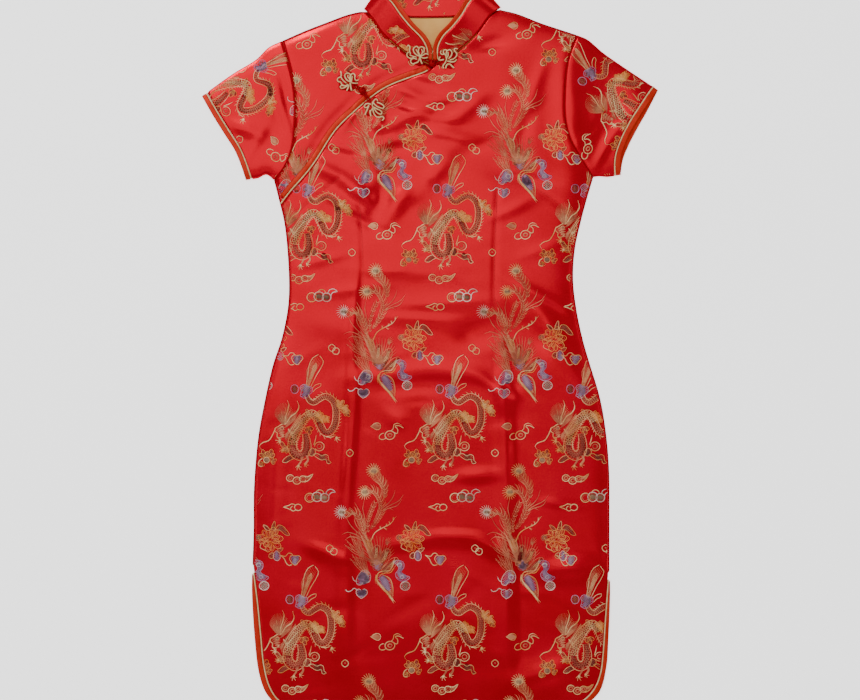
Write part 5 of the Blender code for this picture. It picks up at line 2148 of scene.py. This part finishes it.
LEFT_SLEEVE = Sleeve(
    Side.LEFT, (ARMHOLE_LEFT, SLEEVE_TOP_LEFT, UNDERARM_LEFT, CUFF_LEFT), 0.0, -52.0
)
RIGHT_SLEEVE = Sleeve(
    Side.RIGHT, (ARMHOLE_RIGHT, SLEEVE_TOP_RIGHT, UNDERARM_RIGHT, CUFF_RIGHT), 5.4, 52.0
)


@dataclass(frozen=True)
class Collar:
    """The stand-up collar, with its edge binding and the piping between them.

    The crown is how far the binding's middle stands out, and the piping lies in.
    """

    columns: int = 170
    rows: int = 14
    wall: float = 1.4
    crown: float = 0.35

    @cached_property
    def curves(self) -> tuple[Array, Array, Array]:
        """The seam, the top edge and the unit vector between them, round the neck."""
        sections = smooth_curve(COLLAR_SECTIONS, self.columns)
        sections[:, [2, 5]] = np.maximum(sections[:, [2, 5]], 0.0)
        seam, edge = sections[:, :3], sections[:, 3:]
        return seam, edge, unit(edge - seam)

    def band(self, start: Array, stop: Array, rows: int, crown: float) -> Array:
        """A grid between two lines, its middle raised outwards by a half sine.

        Args:
            start: the first line.
            stop: the last line.
            rows: how many rows there are.
            crown: how far the middle stands out.

        Returns:
            The grid.
        """
        f = np.linspace(0.0, 1.0, rows)[:, None, None]
        out = unit(np.cross(self.curves[2], np.gradient(start, axis=0)))
        return start * (1 - f) + stop * f + crown * np.sin(math.pi * f) * out

    @cached_property
    def grid(self) -> Array:
        """The collar's own cloth, seam to piping."""
        seam, edge, lean = self.curves
        return self.band(seam, edge - lean * (COLLAR_BAND + PIPING_GAP), self.rows, 0.0)

    def place(self, u: Array, v: Array) -> tuple[Array, Array]:
        """Points and outward normals for millimetres round the neck and up the collar.

        Args:
            u: millimetres round the neck, from the nape.
            v: millimetres up from the seam.

        Returns:
            The points and the normals.
        """
        along = run_steps(self.grid[self.rows // 2])
        at = np.interp(u, along - along[-1] / 2, np.arange(self.columns))
        i = np.clip(at.astype(int), 0, self.columns - 2)
        f = (at - i)[..., None]
        foot, lean = (line[i] * (1 - f) + line[i + 1] * f for line in self.curves[::2])
        run = self.grid[1, i + 1] - self.grid[1, i]
        return foot + lean * v[..., None], unit(np.cross(lean, run))

    def build(self, wardrobe: Wardrobe, brocade: "Brocade") -> None:
        """Builds the collar, its binding, its piping and its brocade.

        Args:
            wardrobe: makes and settles the pieces.
            brocade: lays the threads.
        """
        _, edge, lean = self.curves
        cloth = wardrobe.cloth("collar", self.grid, self.wall, SATIN)
        binding = self.band(edge - lean * (COLLAR_BAND - PIPING_GAP), edge, 7, self.crown)
        band = wardrobe.cloth("collar_binding", binding, self.wall, BIAS)
        line = edge - lean * COLLAR_BAND
        line = line + unit(np.cross(np.gradient(line, axis=0), lean)) * self.crown
        line[:, 2] = np.maximum(line[:, 2], PIPING_RADIUS)
        cord = tube(line, PIPING_RADIUS)
        piping = wardrobe.shape("collar_piping_cord", cord, PIPING, "collar_piping")
        # A dark tube of painted shade along the back neck's seam.
        nape = lifted(smooth_curve(NECK_BACK[1:-1], 60), self.wall + 0.2)
        seam = wardrobe.shape("neck_seam", tube(nape, SEAM_SHADE_RADIUS, 6), THREADS[WINE])
        threads = [seam, *brocade.dress_collar(self)]
        declare_sheet(self.grid, [band, piping, *threads])


COLLAR = Collar()


@dataclass(frozen=True)
class NeckLining:
    """The lining of the back that shows through the open neck, with creases."""

    inset: float = 1.2
    taper: float = 0.8
    bottom: float = 350.0
    lift: float = 2.4
    thickness: float = 0.9
    creases: Rows = (
        (-6, 395, 72, 50, 3, 0.35), (14, 390, 110, 44, 4, -0.3), (3, 380, 92, 40, 2.6, 0.3),
        (-22, 405, 40, 30, 3, 0.25),
    )

    def build(self, wardrobe: Wardrobe) -> None:
        """Builds the lining and its creases.

        Args:
            wardrobe: makes and settles the pieces.
        """
        top = beside(NECK_BACK[1:-1], 60, -self.inset)
        bottom = top * (self.taper, 0.0) + (0.0, self.bottom)
        sides = (np.linspace(top[end], bottom[end], 36) for end in (0, -1))
        grid = lifted(patch(top, bottom, *sides), self.lift)
        x, y = grid[..., 0], grid[..., 1]
        grid[..., 2] += sum(Fold(*row).lift(x, y) for row in self.creases)
        piece = wardrobe.cloth("neck_lining", grid, self.thickness, LINING)
        declare_sheet(grid, [])


@dataclass(frozen=True)
class Trims:
    """The bindings and pipings of the slanting edge, the slits and the hem.

    A binding's middle stands up by the crown, and small slanting puckers cross it.
    """

    wardrobe: Wardrobe
    crown: float = 0.5
    pucker: float = 0.16
    pitch: float = 9.0

    def strip(self, first: Array, last: Array, height: Height | float) -> Array:
        """A binding between two plan lines, crowned, with small slanting puckers.

        Each pucker is a sine along the strip, drawn aside across it, whose size
        changes slowly along the strip.

        Args:
            first: one edge.
            last: the other edge, with as many points.
            height: what it lies on.

        Returns:
            The strip's grid.
        """
        f = np.linspace(0.0, 1.0, 7)[:, None]
        grid = lifted(first * (1 - f[..., None]) + last * f[..., None], height)
        steps = run_steps(first)
        phase = 2 * math.pi * (steps[None] + 5.0 * f) / self.pitch
        uneven = 0.55 + 0.45 * np.sin(steps / 23.0 + 1.3 * np.sin(steps / 41.0))[None]
        grid[..., 2] += np.sin(math.pi * f) * (self.crown + self.pucker * uneven * np.sin(phase))
        return grid

    def piping(self, name: str, line: Array, height: Height | float, sink: float) -> Piece:
        """A piping along a plan line, sunk into its seam.

        Args:
            name: the CAD node that it replaces.
            line: its plan line.
            height: what it lies on.
            sink: how deep it is sunk.

        Returns:
            The piping's piece.
        """
        raised = lifted(line, height)
        raised[:, 2] -= sink
        return self.wardrobe.shape(f"{name}_cord", tube(raised, PIPING_RADIUS), PIPING, name)

    def placket(self) -> list[Piece]:
        """The slanting edge's binding and piping.

        Returns:
            The binding's and the piping's piece.
        """
        line = smooth_curve(PLACKET, 140)
        inner, outer = (
            moved_aside(line, -inset)[3:-4] for inset in (PIPING_GAP, PLACKET_BAND + 0.8)
        )
        grid = self.strip(inner, outer, FORM.front)
        band = self.wardrobe.cloth("placket_binding", grid, CLOTH, BIAS)
        return [band, self.piping("placket_piping", line[4:], FORM.front, PIPING_SINK)]

    def hem(self, layer: str, height: Height | float, sink: float) -> list[Piece]:
        """One layer's binding and piping along both slits and the hem.

        Args:
            layer: front or back.
            height: what they lie on.
            sink: how deep the piping is sunk.

        Returns:
            The binding's and the piping's piece.
        """
        slit, columns = BODY.slit, BODY.columns
        outline = chain(
            even_points(smooth_curve(SLIT_LEFT, 120), slit),
            even_points(smooth_curve(HEM, 160), columns),
            even_points(smooth_curve(SLIT_RIGHT, 120), slit)[::-1],
        )[4:-4]
        inner = BODY.hem_line(-PIPING_GAP, columns, slit)[4:-4]
        grid = self.strip(outline, inner, height)
        if layer == "back":
            grid = lifted(grid[..., :2], CLOTH)
        band = self.wardrobe.cloth(f"hem_binding_{layer}", grid, CLOTH, BIAS, down=True)
        line = BODY.hem_line(0.0, columns, slit)[3:-3]
        return [band, self.piping(f"hem_piping_{layer}", line, height, sink)]


# The rings of a frog's flower, from its middle over its rim and underneath: share of
# its radius, and how far it lies under its face.
PAD_RINGS = (
    (0.05, 0), (0.2, 0), (0.36, 0), (0.52, 0), (0.68, 0), (0.8, 0.02), (0.9, 0.1), (0.97, 0.35),
    (1.0, 0.9), (0.99, 1.5), (0.95, 2.0), (0.6, 2.1), (0.05, 2.1),
)
# The cords of each frog half: radius, and x and y from the half's middle.
FROG_CORDS = {
    "frog_chest_upper": (
        (0.8, [
            (-8.4, 12.5), (-7.6, 9.4), (-8.1, 5.8), (-11.2, 4.1), (-12.4, 1.7), (-10.8, -0.5),
            (-8.4, -0.9), (-6.9, -3.8), (-3.6, -5.7), (-0.5, -5),
        ]),
        (0.7, [(-7.8, 5.3), (-6.3, 2.4), (-3.6, -0.5), (-1.3, -2.3)]),
        (0.8, [
            (3.6, -0.9), (-0.3, 1.4), (-2.7, 4.8), (-2.9, 8), (-0.5, 10), (2.1, 9.7), (3.7, 8.1),
            (3.3, 3.9), (4, -0.8),
        ]),
        (0.7, [(0.9, 7.6), (0.6, 5.6), (2.4, 3.4), (3.5, 0)]),
        (0.8, [
            (5.1, -1.2), (4.1, 3.6), (4.8, 8.1), (7.5, 9.7), (9.5, 7.2), (9.3, 3.4), (11.2, 0.9),
            (13.8, 1.8),
        ]),
        (0.7, [(6.2, 6.2), (5.7, 2.9), (5.3, -0.4)]),
        (0.7, [(5.5, -2), (9.3, -2.5), (12.8, -2.3)]),
        (0.75, [
            (1.9, -4.8), (-1.2, -6.7), (-5.3, -8.7), (-8.1, -8.5), (-8.8, -6.7), (-6.9, -5.2),
            (-3.2, -6), (0.7, -4),
        ]),
        (0.85, [(1.9, -4.8), (0.9, -8.6), (-0.6, -11.6)]),
        (1, [(3.7, -2.4), (4.3, -7.2), (5.3, -11.1)]),
    ),
    "frog_chest_lower": (
        (0.8, [(-0.7, 4.2), (0.7, 7.9), (3.5, 9.9), (5.3, 7.8)]),
        (0.8, [
            (-0.2, 4.9), (3.3, 1.5), (8.1, -1), (11.9, -1.7), (13.2, 0.6), (10.2, 3.6), (4.7, 5.7),
        ]),
        (0.75, [
            (0.4, -0.2), (5, -2.8), (8.7, -4.4), (10.5, -7), (9.8, -9), (6.6, -8.4), (3, -5.4),
            (0.9, -1.6),
        ]),
        (0.8, [
            (-0.5, -1.6), (-0.3, -5), (1.1, -9), (4, -12.2), (7.6, -12.7), (11.3, -11.8),
            (13, -14.1), (11.1, -16.6),
        ]),
        (0.8, [
            (-3.4, 3.3), (-6.8, 4.2), (-9.7, 3.3), (-11.3, 1.2), (-10.3, -0.7), (-7.5, -0.3),
            (-5.7, 2),
        ]),
        (0.95, [(-5.9, 1), (-7.5, -3), (-9.1, -6.6), (-10.3, -9.7)]),
        (0.95, [(-3.9, -4.5), (-3.9, -7.8), (-3.1, -11.3)]),
        (0.7, [(-1, 6.1), (-1.4, 2.2), (-0.7, -1.1), (-3.4, -5)]),
    ),
    "frog_collar_left": (
        (0.85, [(-12.6, 10.5), (-11.2, 11.9), (-9.5, 9.6), (-9.8, 5.1), (-8.7, 1.1)]),
        (0.8, [(-11.4, 3.5), (-13.1, 0.9), (-12.2, -2.2), (-8.8, -4.1), (-4.7, -3.3)]),
        (0.65, [(-9.4, -0.2), (-5.1, -1.9), (-1.3, -2.8)]),
        (0.8, [
            (-0.9, -5.4), (-4.7, -4.3), (-8, -6), (-8.2, -8.9), (-6, -11), (-2.9, -10),
            (0.3, -8.8), (2, -6), (3, -2.9),
        ]),
        (1.05, [(3, -3.2), (4.2, -7.3), (5.7, -10.3)]),
        (0.8, [
            (2.8, -1.9), (-1, -0.2), (-4.2, 3), (-5.1, 6.6), (-3.1, 9.6), (-0.4, 10.1), (1.3, 8),
        ]),
        (0.65, [(-1.7, 6.3), (0, 3.1), (2.5, -0.8)]),
        (0.8, [(3.3, -1.9), (1.1, 4.6), (2.6, 8.5), (5.8, 9.7), (8.4, 6.6), (7.8, 2.8)]),
        (0.65, [(5.2, 6.6), (6.2, 3.1), (4.2, -0.8)]),
        (0.75, [(3.6, -2.1), (7.3, -0.2), (10.8, 1.4), (13.3, 0.4)]),
        (0.75, [(3.7, -2.5), (6.5, -3.8), (9.4, -4.1), (12.2, -3.4)]),
    ),
    "frog_collar_right": (
        (0.7, [(-7.8, 9.1), (-8.5, 6.3), (-6.8, 4.5), (-3.8, 4.9)]),
        (0.8, [(-9, 1.3), (-10.7, -2), (-7.8, -2.4), (-4.7, -1.8)]),
        (0.8, [(-1.2, -0.2), (-2.3, 3.4), (-4.8, 6.3), (-4.4, 9.5), (-2.1, 10.3), (-0.3, 8.6)]),
        (0.8, [
            (-1, -0.7), (-1.4, 3.4), (-0.8, 8.1), (2.9, 10.3), (5.7, 7.3), (4.7, 2.9), (1.7, -0.6),
        ]),
        (0.7, [(0.8, 7.1), (0.9, 3.4), (0, 0.8)]),
        (0.8, [
            (12.6, 11.8), (9.2, 11.9), (9.1, 9), (11.8, 5.6), (10.7, 1.9), (7, -1.2), (3.1, -2.4),
        ]),
        (0.85, [(0.3, -3.6), (5.2, -4.7), (9.2, -3.9), (11.3, -1.8)]),
        (0.8, [(-0.7, -0.2), (-2.2, -4.9), (-5.5, -9.8), (-4.7, -12.5)]),
        (1, [(-2.2, -12.4), (-0.4, -8.1), (2.9, -7.5), (5.6, -9.7), (8, -11.8)]),
    ),
}


@dataclass(frozen=True)
class Frog:
    """One half of a flower frog: a padded satin flower with a scrolled gold cord.

    Its turn is where the knot lies from its middle, in degrees, its puff how far its
    middle stands above its rim, and its softness evens out the solid's face.
    """

    name: str
    x: float
    y: float
    turn: float
    radius: float = 13.2
    lobes: int = 5
    puff: float = 0.9
    softness: float = 1.5

    @cached_property
    def top(self) -> tuple[Array, Array]:
        """Plan points and heights of the solid's upper face, in millimetres."""
        node = bpy.data.objects[self.name].data
        points, normals = np.empty((2, len(node.vertices), 3))
        node.vertices.foreach_get("co", points.ravel())
        node.vertex_normals.foreach_get("vector", normals.ravel())
        upper = (points / MM)[normals[:, 2] > 0.2]
        return upper[:, :2], upper[:, 2]

    def height(self, x: Array, y: Array) -> Array:
        """Height over the solid's face: its points' mean by inverse distance.

        Args:
            x: plan x.
            y: plan y.

        Returns:
            The height.
        """
        plan, z = self.top
        gap = np.hypot(x[..., None] - plan[:, 0], y[..., None] - plan[:, 1])
        weight = 1 / (gap + self.softness) ** 4
        return (weight * z).sum(axis=-1) / weight.sum(axis=-1)

    def pad(self) -> Shape:
        """The padded flower: rings out to a lobed rim, over it, and back underneath.

        Its middle rises as 1 - share^2, and fine gathers run out from it.

        Returns:
            The flower's shape.
        """
        rings, count = len(PAD_RINGS), 64
        angles = np.linspace(0.0, 2 * math.pi, count, endpoint=False)
        wave = np.cos(self.lobes * (angles - math.radians(self.turn) - math.pi))
        outline = self.radius * (1.0 - 0.11 * (1 - wave))
        share, drop = np.array(PAD_RINGS).T[..., None]
        x, y = (
            middle + share * outline * wheel(angles)
            for middle, wheel in ((self.x, np.cos), (self.y, np.sin))
        )
        over = self.puff * (1 - share**2) * (np.arange(rings) < 9)[:, None]
        gather = 0.22 * np.sin(13 * angles + 1.3 * np.sin(3 * angles)) * (share * (1 - share)) * 4
        z = self.height(x, y) + over - drop + gather * (drop < 0.5)
        j = np.arange(count)
        last = (rings - 1) * count + j[::-1]
        faces = [grid_faces(rings, count, wraps=True), j[None], last[None]]
        return Shape(np.stack([x, y, z], axis=-1).reshape(-1, 3), faces)

    def cords(self) -> Shape:
        """The scrolled cords, half sunk into the flower's face.

        Returns:
            Their shape.
        """
        shapes = []
        for lift, (radius, rows) in enumerate(FROG_CORDS[self.name]):
            plan = smooth_curve(rows, 8 * len(rows)) + (self.x, self.y)
            out = np.hypot(plan[:, 0] - self.x, plan[:, 1] - self.y) / self.radius
            z = self.height(plan[:, 0], plan[:, 1]) + self.puff * np.clip(1 - out**2, 0, 1)
            z = z + 0.6 * radius + 0.12 * (lift % 3) - 0.7 * np.clip(out - 0.9, 0, 1)
            shapes.append(tube(lifted(plan, z), radius))
        return Shape.joined(shapes)

    def build(self, wardrobe: Wardrobe) -> None:
        """Builds the flower and its cords."""
        # The flower's darker satin is partly painted shade round the frog.
        wardrobe.shape(f"{self.name}_pad", self.pad(), CORD_SATIN_AND_SHADE, self.name)
        wardrobe.shape(f"{self.name}_cords", self.cords(), PIPING)


@dataclass(frozen=True)
class Knot:
    """The knot that closes a frog: a satin cord wound over itself into a ball.

    Each of its turns has a spin and a tilt, in degrees, and a pair of straps runs to
    each half.
    """

    node: str
    halves: tuple[Frog, Frog]
    radius: float = 3.6
    cord: float = 1.25
    strap: float = 1.15
    turns: Rows = ((10, 18), (70, 62), (128, 40), (35, 100), (155, 80))

    def ball(self, centre: Array) -> Shape:
        """The windings, each a slightly uneven ring.

        Args:
            centre: its middle.

        Returns:
            The windings.
        """
        a = np.linspace(0.0, 2 * math.pi, 25)[:-1, None]
        rings = []
        for spin, tilt in self.turns:
            (c, s), (low, high) = cos_sin(spin), cos_sin(tilt)
            across, along = np.array([(c, s, 0.0), (-s * low, c * low, high)])
            ring = across * np.cos(a) + along * np.sin(a)
            ring = ring * self.radius * (1 + 0.05 * np.cos(3 * a + spin))
            rings.append(tube(centre + ring * (1, 1, 0.8), self.cord, closed=True))
        return Shape.joined(rings)

    def straps(self, centre: Array) -> Shape:
        """A bowed pair of straps to each half.

        Args:
            centre: the ball's middle.

        Returns:
            The straps.
        """
        shapes = []
        f = np.linspace(0.0, 1.0, 9)[:, None]
        for half in self.halves:
            middle = np.array([half.x, half.y])
            toward = unit(middle - centre[:2])
            start, stop = centre[:2] + toward * 2.0, middle - toward * 7.0
            end_z = half.height(stop[:1], stop[1:])
            for hand in (-self.strap, self.strap):
                bow = (hand + 0.35 * hand * np.sin(math.pi * f)) * leftward(toward)
                z = (centre[2] - 1.0) * (1 - f) + (end_z + 0.2) * f
                plan = start * (1 - f) + stop * f + bow
                shapes.append(tube(np.concatenate([plan, z], axis=1), self.strap))
        return Shape.joined(shapes)

    def build(self, wardrobe: Wardrobe) -> None:
        """Builds the knot and its straps.

        Args:
            wardrobe: makes and settles the pieces.
        """
        low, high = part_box(self.node)
        centre = np.array([*(low + high) / 2]) / MM
        wardrobe.shape(f"{self.node}_wound", self.ball(centre), CORD_SATIN_AND_SHADE, self.node)
        wardrobe.shape(f"{self.node}_straps", self.straps(centre), CORD_SATIN_AND_SHADE)


@dataclass(frozen=True)
class Brocade:
    """Lays the design's repeats on each piece, an object for each thread.

    Each of the front's rows has its height, and where its dragons stand across.
    """

    wardrobe: Wardrobe
    design: BrocadeDesign = BrocadeDesign()
    front_rows: tuple[tuple[float, tuple[float, ...]], ...] = (
        (657.5, (-320.0, -145.0, 27.5, 202.0)),
        (395.0, (-322.0, -147.5, 27.5, 202.0)),
        (145.0, (-322.0, -147.5, 27.5, 200.0)),
        (-105.0, (-326.0, -150.0, 31.0, 194.0)),
        (-367.5, (-332.0, -156.0, 31.0, 200.0)),
    )

    @cached_property
    def figure(self) -> Motif:
        """One repeat of the design."""
        return self.design.repeat()

    def lay(
        self, name: str, figures: Sequence[Motif], ground: Ground, coarse: bool = False
    ) -> list[Piece]:
        """Builds the threads of these figures on a ground.

        Args:
            name: the name of the piece that they lie on.
            figures: the figures, placed.
            ground: the piece's face.
            coarse: whether strokes keep only about half of their stations.

        Returns:
            An object for each thread colour that is found on it.
        """
        made = []
        low, high = ground.outline.min(axis=0) - 5.0, ground.outline.max(axis=0) + 5.0
        whole = Motif().with_all(*figures)
        for thread in Thread:
            bundles = []
            for points, halves in ((p, w) for kind, p, w in whole.bundles if kind is thread):
                near = ((points > low) & (points < high)).all(axis=2).any(axis=1)
                count = points.shape[1]
                kept = max(3, (count + 1) // 2) if coarse and count > 3 else count
                kept = np.linspace(0, count - 1, kept).round().astype(int)
                if near.any():
                    bundles.append((points[near][:, kept], halves[near][:, kept]))
            shape = thread_shape(bundles, ground, UNDERLAYS.get(thread, 0.0)) if bundles else None
            if shape is not None:
                made.append(self.wardrobe.shape(f"{name}_{thread.value}", shape, THREADS[thread]))
        return made

    def repeats(self, mirrored: bool = False) -> Motif:
        """The figure at each place of the rows (read from behind where mirrored).

        Args:
            mirrored: whether it is read from behind.

        Returns:
            The figures together.
        """
        spots = [self.figure.placed(x, y) for y, columns in self.front_rows for x in columns]
        whole = Motif().with_all(*spots)
        flip = np.array([-1.0, 1.0])
        return Motif([(t, p * flip, w) for t, p, w in whole.bundles]) if mirrored else whole

    def darts(self, count: int) -> Motif:
        """Painted shade along the first darts: dark wine lines where the darts' folds lie in
        shade.

        Args:
            count: how many darts.

        Returns:
            Their lines.
        """
        made = Motif()
        for rows in DARTS[:count]:
            made.line(WINE, rows, 0.75, 60)
        return made

    def dress_front(self) -> list[Piece]:
        """The main front's threads."""
        ground = Ground(upward(FORM.front), BODY.outline(BODY.front))
        return self.lay("front_panel", [self.repeats(), self.darts(len(DARTS))], ground)

    def dress_shoulder(self) -> list[Piece]:
        """The under front's threads, where the main front leaves it open.

        Returns:
            The threads' pieces.
        """
        outline, hole = BODY.outline(BODY.shoulder), BODY.outline(BODY.front)
        ground = Ground(upward(FORM.flap), outline, (hole,))
        spots = [(x, y) for y in (382.5, 132.5, 632.5) for x in (-247.5, -72.5)]
        return self.lay("front_shoulder", [self.figure.placed(*spot) for spot in spots], ground)

    def dress_back(self) -> list[Piece]:
        """The back's threads, on its outer face, which lies underneath."""
        ground = Ground(downward, BODY.outline(BODY.back))
        return self.lay("back_panel", [self.repeats(mirrored=True), self.darts(2)], ground, True)

    def dress_sleeve(self, sleeve: Sleeve) -> list[Piece]:
        """A sleeve's threads, on both of its layers.

        Args:
            sleeve: the sleeve.

        Returns:
            The threads' pieces.
        """
        x, y = (-251.0, 317.0) if sleeve.side is Side.LEFT else (247.0, 316.0)
        figures = [
            self.figure.placed(column * 176.0, row * 251.0).placed(x, y, sleeve.grain)
            for column in (-1, 0, 1) for row in (-1, 0, 1)
        ]
        word = f"sleeve_{sleeve.side.word}"
        front, back = (BODY.outline(layer) for layer in sleeve.layers)
        made = self.lay(word, figures, Ground(upward(FORM.sleeve), front))
        return made + self.lay(f"{word}_back", figures, Ground(downward, back), True)

    def dress_collar(self, collar: Collar) -> list[Piece]:
        """The collar's threads, in millimetres round the neck and up from its seam.

        Args:
            collar: the collar.

        Returns:
            The threads' pieces.
        """
        half = run_steps(collar.grid[collar.rows // 2])[-1] / 2 - 3.0
        heights = np.linalg.norm(collar.grid[-1] - collar.grid[0], axis=1)
        top = heights[10:-10].min() - 1.0
        outline = np.array([(-half, 1.0), (half, 1.0), (half, top), (-half, top)])
        figures = [self.figure.placed(x, y) for x in (-176.0, 0.0, 176.0) for y in (-18.0, 233.0)]
        made = self.lay("collar", figures, Ground(collar.place, outline))
        nape = np.array([(-42.0, 419.0), (44.0, 419.0), (49.0, 449.0), (-46.0, 449.0)])
        figures = [self.figure.placed(x, 470.0, 8.0) for x in (-158.0, 8.0, 150.0)]
        ground = Ground(upward(lambda x, y: x * 0 + collar.wall), nape)
        return made + self.lay("collar_nape", figures, ground)


# The studio.


@dataclass(frozen=True)
class Lamp:
    """A soft lamp: place and aim in metres, its width and height, power and colour."""

    name: str
    place: Triple
    aim: Triple
    size: Point
    power: float
    colour: Triple = (1.0, 1.0, 1.0)

    def build(self) -> None:
        """Adds the lamp."""
        light = bpy.data.lights.new(self.name, "AREA")
        light.shape = "RECTANGLE"
        light.size, light.size_y = self.size
        light.energy, light.color = self.power, self.colour
        made = bpy.data.objects.new(self.name, light)
        made.location = self.place
        toward = Vector(self.aim) - Vector(self.place)
        made.rotation_euler = toward.to_track_quat("-Z", "Y").to_euler()
        bpy.context.scene.collection.objects.link(made)


@dataclass(frozen=True)
class Studio:
    """A pale floor, soft lamps, and a camera that looks straight down.

    The view's width, the camera's height and its middle are in metres; the sensor, the
    floor's reach and how far it lies under the dress are in millimetres.
    """

    width: float = 1.075
    height: float = 2.5
    middle: Point = (0.0, 0.00125)
    sensor: float = 36.0
    ambient: float = 0.41
    reach: float = 3000.0
    sink: float = 0.3
    lamps: tuple[Lamp, ...] = (
        Lamp("canopy", (-0.6, 0.84, 2.3), (-0.6, 0.84, 0), (1.86, 1.72), 15.2, (1, 0.99, 0.97)),
        Lamp("low_canopy", (-0.2, -0.4, 2.3), (-0.2, -0.4, 0), (1.5, 0.4), 1.2),
        Lamp("hem_fill", (0, -1.5, 0.9), (0, -0.3, 0), (1.2, 0.5), 3.6),
        Lamp("key", (-0.9, 1.7, 2), (0, 0, 0), (0.5, 0.5), 16),
        Lamp("left", (-1.6, -0.3, 1.7), (0, -0.1, 0), (1.2, 0.5), 4, (0.98, 0.99, 1)),
        Lamp("right", (1.5, 0.3, 1.9), (0, 0, 0), (0.8, 0.8), 2.5),
    )

    def floor(self, wardrobe: Wardrobe) -> None:
        """Adds the floor.

        Args:
            wardrobe: makes and settles the pieces.
        """
        steps = np.linspace(-self.reach, self.reach, 9)
        x, y = np.meshgrid(steps, -steps)
        grid = np.stack([x, y, np.full_like(x, -self.sink)], axis=-1)
        shape = Shape(grid.reshape(-1, 3), [grid_faces(9, 9)])
        floor = wardrobe.linked("floor", shape, PAPER)

    def build(self, wardrobe: Wardrobe) -> None:
        """Adds the floor, the even light, the lamps and the camera.

        Args:
            wardrobe: makes and settles the pieces.
        """
        self.floor(wardrobe)
        world = bpy.data.worlds.new("studio")
        world.use_nodes = True
        background = world.node_tree.nodes["Background"].inputs
        background[0].default_value = (1.0, 1.0, 1.0, 1.0)
        background[1].default_value = self.ambient
        bpy.context.scene.world = world
        for lamp in self.lamps:
            lamp.build()
        lens = bpy.data.cameras.new("camera")
        lens.sensor_width = self.sensor
        lens.lens = self.sensor * self.height / self.width
        camera = bpy.data.objects.new("camera", lens)
        camera.location = (*self.middle, self.height)
        bpy.context.scene.collection.objects.link(camera)
        bpy.context.scene.camera = camera


@dataclass
class Cheongsam:
    """The whole dress, piece by piece."""

    wardrobe: Wardrobe = field(default_factory=Wardrobe)

    def body(self, brocade: Brocade) -> None:
        """Builds the three body panels with their trims and threads.

        Args:
            brocade: lays the threads.
        """
        trims = Trims(self.wardrobe)
        front = self.wardrobe.cloth("front_panel", BODY.front, CLOTH, SATIN)
        sewn = trims.placket() + trims.hem("front", FORM.front, PIPING_SINK)
        sewn += brocade.dress_front()
        declare_sheet(BODY.front, sewn)
        under = self.wardrobe.cloth("front_shoulder", BODY.shoulder, CLOTH, SATIN)
        declare_sheet(BODY.shoulder, brocade.dress_shoulder())
        back = self.wardrobe.cloth("back_panel", BODY.back, CLOTH, SATIN)
        sewn = trims.hem("back", CLOTH, CLOTH - PIPING_RADIUS) + brocade.dress_back()
        declare_sheet(BODY.back, sewn)

    def closures(self) -> None:
        """Builds the two frogs."""
        halves = {row[0]: Frog(*row) for row in FROGS}
        for half in halves.values():
            half.build(self.wardrobe)
        for place, sides in (("collar", ("left", "right")), ("chest", ("upper", "lower"))):
            one, two = (halves[f"frog_{place}_{side}"] for side in sides)
            Knot(f"frog_{place}_knot", (one, two)).build(self.wardrobe)

    def build(self) -> None:
        """Builds the dress."""
        brocade = Brocade(self.wardrobe)
        self.body(brocade)
        for sleeve in (LEFT_SLEEVE, RIGHT_SLEEVE):
            sleeve.build(self.wardrobe, brocade)
        COLLAR.build(self.wardrobe, brocade)
        NeckLining().build(self.wardrobe)
        self.closures()


def main() -> None:
    """Builds the dress and the studio."""
    logging.basicConfig(level=logging.INFO, format="%(message)s")
    dress = Cheongsam()
    dress.build()
    Studio().build(dress.wardrobe)


if __name__ == "__main__":
    main()
